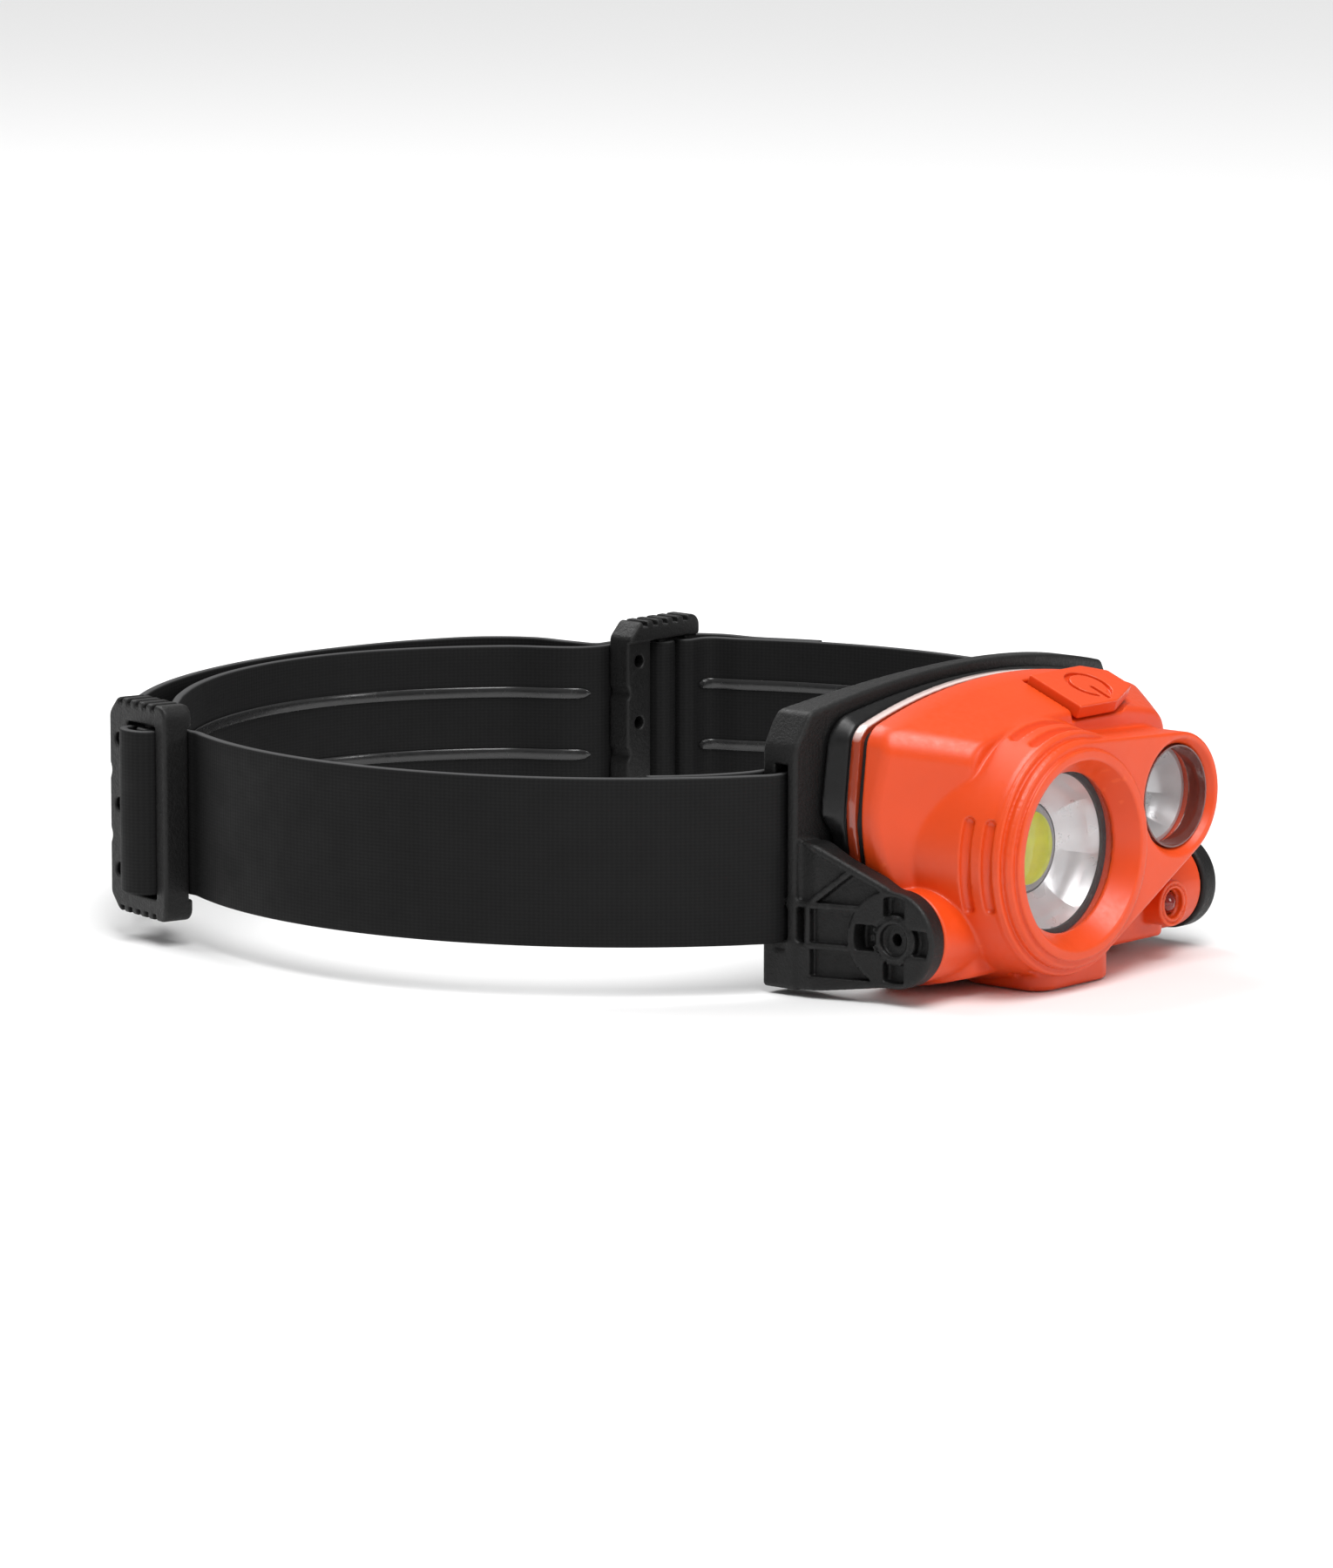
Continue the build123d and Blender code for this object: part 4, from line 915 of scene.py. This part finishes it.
SLIDER_PASS = [
    (-10.6, -3.9), (-8.3, -3.5), (-6.7, -3.5), (-5.7, -2.6), (-5.7, -0.6), (-5.6, 1.8),
    (-4.9, 3.9), (-2.6, 5.0), (0.2, 4.9), (2.0, 3.8), (2.4, 1.5), (2.4, -0.6), (2.4, -2.4),
    (3.2, -3.5), (5.4, -3.6), (8.5, -3.7),
]
SLIDER_HEM = [
    (8.5, -5.8), (5.4, -5.8), (3.0, -5.5), (1.1, -4.4), (0.5, -2.4), (0.5, -0.3), (-0.2, 1.7),
    (-1.7, 2.2), (-3.2, 1.7), (-3.9, -0.3), (-3.7, -2.8), (-2.1, -5.3), (0.8, -7.2), (4.5, -7.8),
]
RING_TURN = [
    (9.0, 5.9), (6.0, 5.8), (3.2, 5.3), (0.8, 3.9), (-1.4, 2.5), (-3.2, 1.7), (-3.95, 0.0),
    (-3.3, -1.7), (-1.7, -2.3), (-0.1, -1.9), (0.6, -0.3), (1.5, 1.7), (3.3, 3.4), (5.5, 3.6),
    (7.5, 3.6), (9.8, 3.6),
]
RING_EXIT = [(11.4, 3.8), (13.4, 4.6)]
RING_HEM = [
    (-10.8, -3.9), (-8.3, -3.5), (-6.7, -3.5), (-5.75, -2.6), (-5.7, 0.0), (-5.75, 2.6),
    (-6.7, 3.5), (-8.3, 3.5), (-10.5, 3.4),
]


def right_side_route():
    """The long strap from the right bar to the slider."""
    side = [loop_point(a) for a in (234, 228, 221, 213, 204, 195, 186, 177, 168, 161, 155)]
    return bracket_hem(-1) + side


def inner_back_route():
    """The inner back layer, from the ring back to the slider."""
    stations = ((60, -6.6), (70, -2.6), (80, 0.8), (90, 2.4), (101, 2.4), (112, 1.4), (122, 0.4))
    leaving = local_points(RING_AT, RING_BACK, RING_EXIT)
    return leaving + [loop_point(a, o) for a, o in stations] + [loop_point(131, 0.2)]


def long_route():
    """Right bar, slider, outer back layer, ring, inner back layer, slider."""
    outer = [loop_point(a, OUTER_LAYER) for a in (133, 124, 114, 103, 91, 79, 68)]
    outer = outer + [loop_point(60, 6.4), loop_point(54, 2.2), loop_point(50, -4.4)]
    slider_pass = local_points(SLIDER_AT, SLIDER_BACK, SLIDER_PASS)
    slider_hem = local_points(SLIDER_AT, SLIDER_BACK, SLIDER_HEM)
    ring_turn = local_points(RING_AT, RING_BACK, RING_TURN)
    return right_side_route() + slider_pass + outer + ring_turn + inner_back_route() + slider_hem


def left_side_route():
    """The short strap's free length, from the left bar to the ring."""
    return [loop_point(a) for a in (306, 312, 319, 327, 336, 345, 354, 3, 12, 20, 27)]


def short_route():
    """Left bar, then round the ring's lamp-side bar and sewn back on itself."""
    hem = local_points(RING_AT, RING_BACK, RING_HEM)
    sewn = [(78.9, 47.2), loop_point(25.5, 2.3), loop_point(21, 2.0), loop_point(17, 2.0)]
    return bracket_hem(1) + left_side_route() + hem + sewn


def left_grip_route():
    """The short strap from the bracket to just before the ring's lamp-side bar."""
    return left_side_route() + local_points(RING_AT, RING_BACK, RING_HEM[:3])


def smooth_line(points, spacing, skip):
    """Evenly spaced points on a smooth curve, less skip spans at either end."""
    span_steps = 20
    before_first = 2 * np.array(points[0]) - points[1]
    after_last = 2 * np.array(points[-1]) - points[-2]
    chain = np.array([before_first, *points, after_last])
    line = []
    for a, b, c, d in zip(chain, chain[1:], chain[2:], chain[3:]):
        before, here, after = (np.linalg.norm(q - p) for p, q in ((a, b), (b, c), (c, d)))
        start = ((b - a) / before - (c - a) / (before + here) + (c - b) / here) * here
        stop = ((c - b) / here - (d - b) / (here + after) + (d - c) / after) * here
        for t in np.arange(span_steps) / span_steps:
            t2, t3 = t * t, t * t * t
            spot = b * (2 * t3 - 3 * t2 + 1) + start * (t3 - 2 * t2 + t)
            line.append(spot + c * (3 * t2 - 2 * t3) + stop * (t3 - t2))
    line.append(chain[-2])
    line = np.array(line)[skip * span_steps : len(line) - skip * span_steps]
    run = np.concatenate([[0], np.cumsum(np.linalg.norm(np.diff(line, axis=0), axis=1))])
    wanted = np.linspace(0, run[-1], max(8, int(run[-1] / spacing)))
    even = np.stack([np.interp(wanted, run, line[:, k]) for k in range(2)], axis=1)
    return even, wanted


def section(thick, width, corner):
    """A rounded rectangle as (sideways, up) points, anticlockwise."""
    half_t, half_w = thick / 2, width / 2
    centres = ((1, 1, 0), (-1, 1, 90), (-1, -1, 180), (1, -1, 270))
    points = []
    for sx, sz, start in centres:
        for step in range(4):
            angle = math.radians(start + 30 * step)
            across = sx * (half_t - corner) + corner * math.cos(angle)
            points.append((across, sz * (half_w - corner) + corner * math.sin(angle)))
    fine = []
    for (x1, z1), (x2, z2) in zip(points, points[1:] + points[:1]):
        count = max(1, int(abs(z2 - z1) / 2.5))
        for step in range(count):
            t = step / count
            fine.append((x1 + (x2 - x1) * t, z1 + (z2 - z1) * t))
    return fine


def oval(thick, width):
    """An oval as (sideways, up) points, anticlockwise."""
    steps = 16
    angles = [2 * math.pi * step / steps for step in range(steps)]
    return [(thick / 2 * math.cos(a), width / 2 * math.sin(a)) for a in angles]


def between_rings(first, second, size):
    """The quads between two rings of size points, given the number of each ring's first point."""
    pairs = [(k, (k + 1) % size) for k in range(size)]
    return [(first + k, first + n, second + n, second + k) for k, n in pairs]


def band(name, points, shape, spacing, shift=0.0, z=0.0, taper=False):
    """A band of the given section along points in plan, with a map in metres."""
    line, run = smooth_line(points, spacing, 1 if taper else 0)
    tangent = np.gradient(line, axis=0)
    tangent = tangent / np.linalg.norm(tangent, axis=1)[:, None]
    across = np.stack([-tangent[:, 1], tangent[:, 0]], axis=1)
    count, ring = len(line), len(shape)
    verts = []
    for index in range(count):
        ease = 1.0
        if taper:
            edge = min(run[index], run[-1] - run[index]) / 3.0
            ease = 0.15 + 0.85 * math.sqrt(max(0.0, 1 - (1 - min(1.0, edge)) ** 2))
        for side, up in shape:
            spot = line[index] + across[index] * (shift + side * ease)
            verts.append((spot[0], spot[1], z + up * ease))
    faces = []
    for index in range(count - 1):
        faces += between_rings(index * ring, (index + 1) * ring, ring)
    faces.append(tuple(range(ring)))
    faces.append(tuple(reversed(range((count - 1) * ring, count * ring))))
    piece = mesh_object(name, verts, faces)
    uv = piece.data.uv_layers.new(name="UVMap")
    for loop in piece.data.loops:
        index = loop.vertex_index // ring
        uv.data[loop.index].uv = (run[index] * MM, verts[loop.vertex_index][2] * MM)
    return piece, run[-1]


def grip_lines(name, points, towards):
    """Two raised silicone lines on a strap's inner face, as one piece."""
    shift = towards * ((STRAP_THICK + GRIP_RAISE) / 2 - 0.02)
    pieces = [
        band(name + str(n), points, oval(GRIP_RAISE, GRIP_WIDTH), 1.2, shift, z, True)[0]
        for n, z in enumerate((-GRIP_Z, GRIP_Z))
    ]
    with bpy.context.temp_override(active_object=pieces[0], selected_editable_objects=pieces):
        bpy.ops.object.join()
    pieces[0].name = name
    return pieces[0]


# ---- optics


def panelled(radius, angle, share):
    """The radius at an angle, drawn in by share of the way to a flat-sided outline."""
    half = math.pi / BOWL_PANELS
    offset = (angle - BOWL_TURN) % (2 * half) - half
    return radius * (1 - share + share * math.cos(half) / math.cos(offset))


def turned(name, profile, x, z, steps=96, shares=None, crease=60):
    """A closed ring or disc turned about a beam axis from (radius, y) points.

    shares flattens each point's ring, and edges sharper than crease degrees are shaded sharp.
    """
    shares = shares or [0] * len(profile)
    verts = []
    for step in range(steps):
        angle = 2 * math.pi * step / steps
        for (radius, y), share in zip(profile, shares):
            reach = panelled(radius, angle, share)
            verts.append((x + reach * math.cos(angle), y, z + reach * math.sin(angle)))
    size = len(profile)
    faces = []
    for step in range(steps):
        faces += between_rings(step * size, (step + 1) % steps * size, size)
    piece = mesh_object(name, verts, faces)
    piece.data.set_sharp_from_angle(angle=math.radians(crease))
    return piece


def bowl_shares(inner, outer):
    """How far each point of a bowl's profile is panelled: round at both ends and outside."""
    last = len(inner) - 1
    easing = 3
    ease = [min(1, k / easing, (last - k) / easing) for k in range(len(inner))]
    return [BOWL_SHARE * share for share in ease] + [0] * len(outer)


def rounded_disc(radius, front, back, dome=0.0):
    """The profile of a disc with eased edges and a slightly domed front."""
    edge = 0.25
    flat = radius - edge - HUB
    rise = [(HUB + flat * t, front - dome * (1 - t * t)) for t in (0, 0.25, 0.5, 0.75, 1)]
    rim = [(radius - edge * 0.3, front + edge * 0.3), (radius, front + edge), (radius, back - edge)]
    return rise + rim + [(radius - edge, back), (HUB, back)]


def curve_profile(start, stop, bend, count):
    """Points from start to stop that bow outwards by bend, and back by part of it."""
    backward = 0.6
    points = []
    for step in range(count):
        t = step / (count - 1)
        bow = bend * math.sin(math.pi * t)
        radius = start[0] + (stop[0] - start[0]) * t + bow
        points.append((radius, start[1] + (stop[1] - start[1]) * t + bow * backward))
    return points


def make_optics():
    """Both beams' windows, bowls and emitters, and the indicator."""
    main, spot = (MAIN_X, MAIN_Z), (SPOT_X, SPOT_Z)
    window = turned("main_window", rounded_disc(15.1, -105.3, -103.9), *main)
    finish_piece(window, "lamp", "clear_plastic", CLEAR, "main_lens")
    inner = curve_profile((14.1, -103.0), (8.2, -97.6), 0.9, 14)
    outer = [(9.3, -96.9), (14.0, -101.2), (14.9, -101.7), (14.9, -103.0)]
    shares = bowl_shares(inner, outer)
    bowl = turned("main_bowl", inner + outer, *main, BOWL_STEPS, shares, BOWL_CREASE)
    finish_piece(bowl, "lamp", "reflector_white", BOWL, "main_reflector")
    carrier = turned("emitter_carrier", rounded_disc(7.9, -97.8, -97.0), *main)
    finish_piece(carrier, "lamp", "aluminium", EMITTER_RING)
    phosphor = turned("emitter_disc", rounded_disc(6.6, -98.3, -97.7, 0.12), *main)
    finish_piece(phosphor, "lamp", "emitter_yellow", PHOSPHOR, "main_led")
    cover = turned("spot_window", rounded_disc(9.15, -104.9, -103.9), *spot)
    finish_piece(cover, "lamp", "clear_plastic", CLEAR, "spot_lens")
    wall = [(9.2, -108.5), (8.9, -108.5), (8.6, -105.1), (8.5, -105.0), (9.2, -105.0)]
    finish_piece(turned("spot_cup", wall, *spot), "lamp", "red_lens", SMOKED)
    small = curve_profile((8.3, -103.6), (2.7, -96.9), 0.9, 12)
    rear = [(3.4, -96.3), (9.0, -102.6), (9.0, -103.6)]
    shares = bowl_shares(small, rear)
    cone = turned("spot_bowl", small + rear, *spot, BOWL_STEPS, shares, BOWL_CREASE)
    finish_piece(cone, "lamp", "reflector_mirror", BOWL, "spot_reflector")
    die = turned("spot_emitter", rounded_disc(2.3, -97.1, -96.2, 0.7), *spot, 48)
    finish_piece(die, "lamp", "emitter_yellow", PHOSPHOR, "spot_led")
    dome = [(HUB, -104.7), (0.8, -104.5), (1.5, -104.1), (2.0, -103.5), (2.2, -102.9)]
    stem = [(2.25, -99.6), (HUB, -99.6)]
    light = turned("indicator_dome", dome + stem, BOSS_X, BOSS_Z, 48)
    finish_piece(light, "lamp", "red_lens", RED_CLEAR, "indicator_lens")


# ---- the pieces


def make_casing():
    """The front shell, the button, the clear ring and the rear cover."""
    shell = mesh_from_field("casing_front", shell_field, (-41, -112, -26), (41, -81.5, 31), 0.34)
    finish_piece(shell, "lamp", "orange_shell", ORANGE, "front_shell")
    button = mesh_from_field("button_cap", button_field, (-1, -104, 18), (23, -86, 32), 0.19)
    finish_piece(button, "button", "orange_shell", ORANGE, "power_button")
    ring = mesh_from_field("clear_band", ring_field, (-41, -83, -26), (41, -78, 31), 0.38)
    finish_piece(ring, "lamp", "clear_plastic", CLEAR_RING, "light_ring")
    cover = mesh_from_field("casing_rear", cover_field, (-43, -82, -26), (43, -68, 31), 0.42)
    finish_piece(cover, "lamp", "black_cover", SMOOTH_BLACK, "rear_cover")


def make_headband():
    """The bracket, its pad, both adjusters, both straps and their grip lines."""
    bracket = mesh_from_field("bracket_frame", bracket_field, (-48, -103, -26), (48, -64, 33), 0.42)
    finish_piece(bracket, "headband", "black_grained", GRAINED, "bracket")
    pad = mesh_from_field("brow_pad", pad_field, (-37, -79, -1), (37, -62, 30), 0.6)
    finish_piece(pad, "headband", "foam", FOAM, "forehead_pad")
    for name, node, spot, back, upright in (
        ("slider_frame", "strap_slider", SLIDER_AT, SLIDER_BACK, 1),
        ("ring_frame", "strap_ring", RING_AT, RING_BACK, -1),
    ):
        adjuster = mesh_from_field(name, adjuster_field, (-12, -5.5, -21.5), (12, 4, 21.5), 0.28)
        placed(adjuster, spot, back, upright)
        finish_piece(adjuster, "headband", "black_grained", GRAINED, node)
    for name, node, route in (
        ("long_webbing", "long_strap", long_route()),
        ("short_webbing", "short_strap", short_route()),
    ):
        strap, length = band(name, route, section(STRAP_THICK, STRAP_WIDTH, 0.45), 0.7)
        finish_piece(strap, "headband", "strap_fabric", WEBBING, node)
    for name, node, route, towards in (
        ("grips_right", "grip_lines_right", right_side_route()[12:-1], -1),
        ("grips_left", "grip_lines_left", left_grip_route(), 1),
        ("grips_back", "grip_lines_back", inner_back_route(), 1),
    ):
        finish_piece(grip_lines(name, route, towards), "headband", "silicone", SILICONE, node)


def dress_cad_nodes():
    """Procedural materials for the CAD pieces that stay as they are."""
    for material, nodes in (
        (RUBBER, ("front_seal", "rear_seal", "lens_seal", "friction_rings", "port_flap", "board_parts")),
        (SILICONE, ("button_seal",)),
        (STEEL, ("case_screws", "charge_socket", "tactile_switch")),
        (ALUMINIUM, ("main_led_board", "spot_led_board", "heat_sink")),
        (BOARD, ("control_board", "switch_board")),
        (CELL_WRAP, ("battery",)),
    ):
        for node in nodes:
            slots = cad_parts[node].data.materials
            slots.clear()
            slots.append(material)


# ---- camera, light, floor


def make_camera():
    """The camera at the chosen viewing angle."""
    azimuth, elevation = math.radians(CAMERA_AZIMUTH), math.radians(CAMERA_ELEVATION)
    level = math.cos(elevation)
    right = Vector((math.cos(azimuth), math.sin(azimuth), 0))
    back = Vector((math.sin(azimuth) * level, -math.cos(azimuth) * level, math.sin(elevation)))
    up = back.cross(right)
    data = bpy.data.cameras.new("camera")
    data.sensor_fit = "VERTICAL"
    data.sensor_height = CAMERA_SENSOR
    data.lens = CAMERA_LENS
    data.clip_start = 0.05
    data.clip_end = 50
    camera = add_object("camera", data)
    turn = Matrix((right, up, back)).transposed().to_4x4()
    place = right * CAMERA_SIDEWAYS + up * CAMERA_UP + back * CAMERA_DISTANCE
    camera.matrix_world = Matrix.Translation(place * MM) @ turn
    bpy.context.scene.camera = camera


def area_light(name, spot, target, size, power):
    """A soft rectangular light at spot that faces target."""
    data = bpy.data.lights.new(name, "AREA")
    data.shape = "RECTANGLE"
    data.size, data.size_y = size
    data.energy = power
    light = add_object(name, data)
    light.location = spot
    light.rotation_euler = (Vector(target) - Vector(spot)).to_track_quat("-Z", "Y").to_euler()


def make_stage():
    """A pale floor, a pale surround and soft studio lights."""
    floor_z = min(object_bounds()[0][2], cad_box[0][2]) - 0.0002
    data = bpy.data.meshes.new("floor")
    reach = 12.0
    corners = [(-reach, -reach, 0), (reach, -reach, 0), (reach, reach, 0), (-reach, reach, 0)]
    data.from_pydata(corners, [], [(0, 1, 2, 3)])
    floor = add_object("floor", data)
    floor.location.z = floor_z
    material, _, _ = new_material("floor_paper", (0.88, 0.88, 0.88), 0.85)
    data.materials.append(material)
    world = bpy.data.worlds.new("surround")
    bpy.context.scene.world = world
    world.use_nodes = True
    background = world.node_tree.nodes["Background"]
    background.inputs["Color"].default_value = (1, 1, 1, 1)
    background.inputs["Strength"].default_value = 0.3
    sun = bpy.data.lights.new("overhead", "SUN")
    sun.energy = 1.95
    sun.angle = math.radians(30)
    overhead = add_object("overhead", sun)
    overhead.rotation_euler = Vector((-0.12, -0.3, 1.0)).to_track_quat("Z", "Y").to_euler()
    area_light("key", (-0.55, -0.75, 1.05), (0, -0.06, 0), (0.45, 0.45), 5)
    area_light("rim", (0.1, 1.0, 1.35), (0, -0.05, 0), (1.2, 0.9), 18)
    area_light("front", (0.3, -1.25, 0.45), (0, -0.09, 0), (0.3, 0.45), 2.6)
    bpy.context.scene.view_settings.view_transform = "Standard"


make_casing()
make_optics()
make_headband()
dress_cad_nodes()
make_camera()
make_stage()
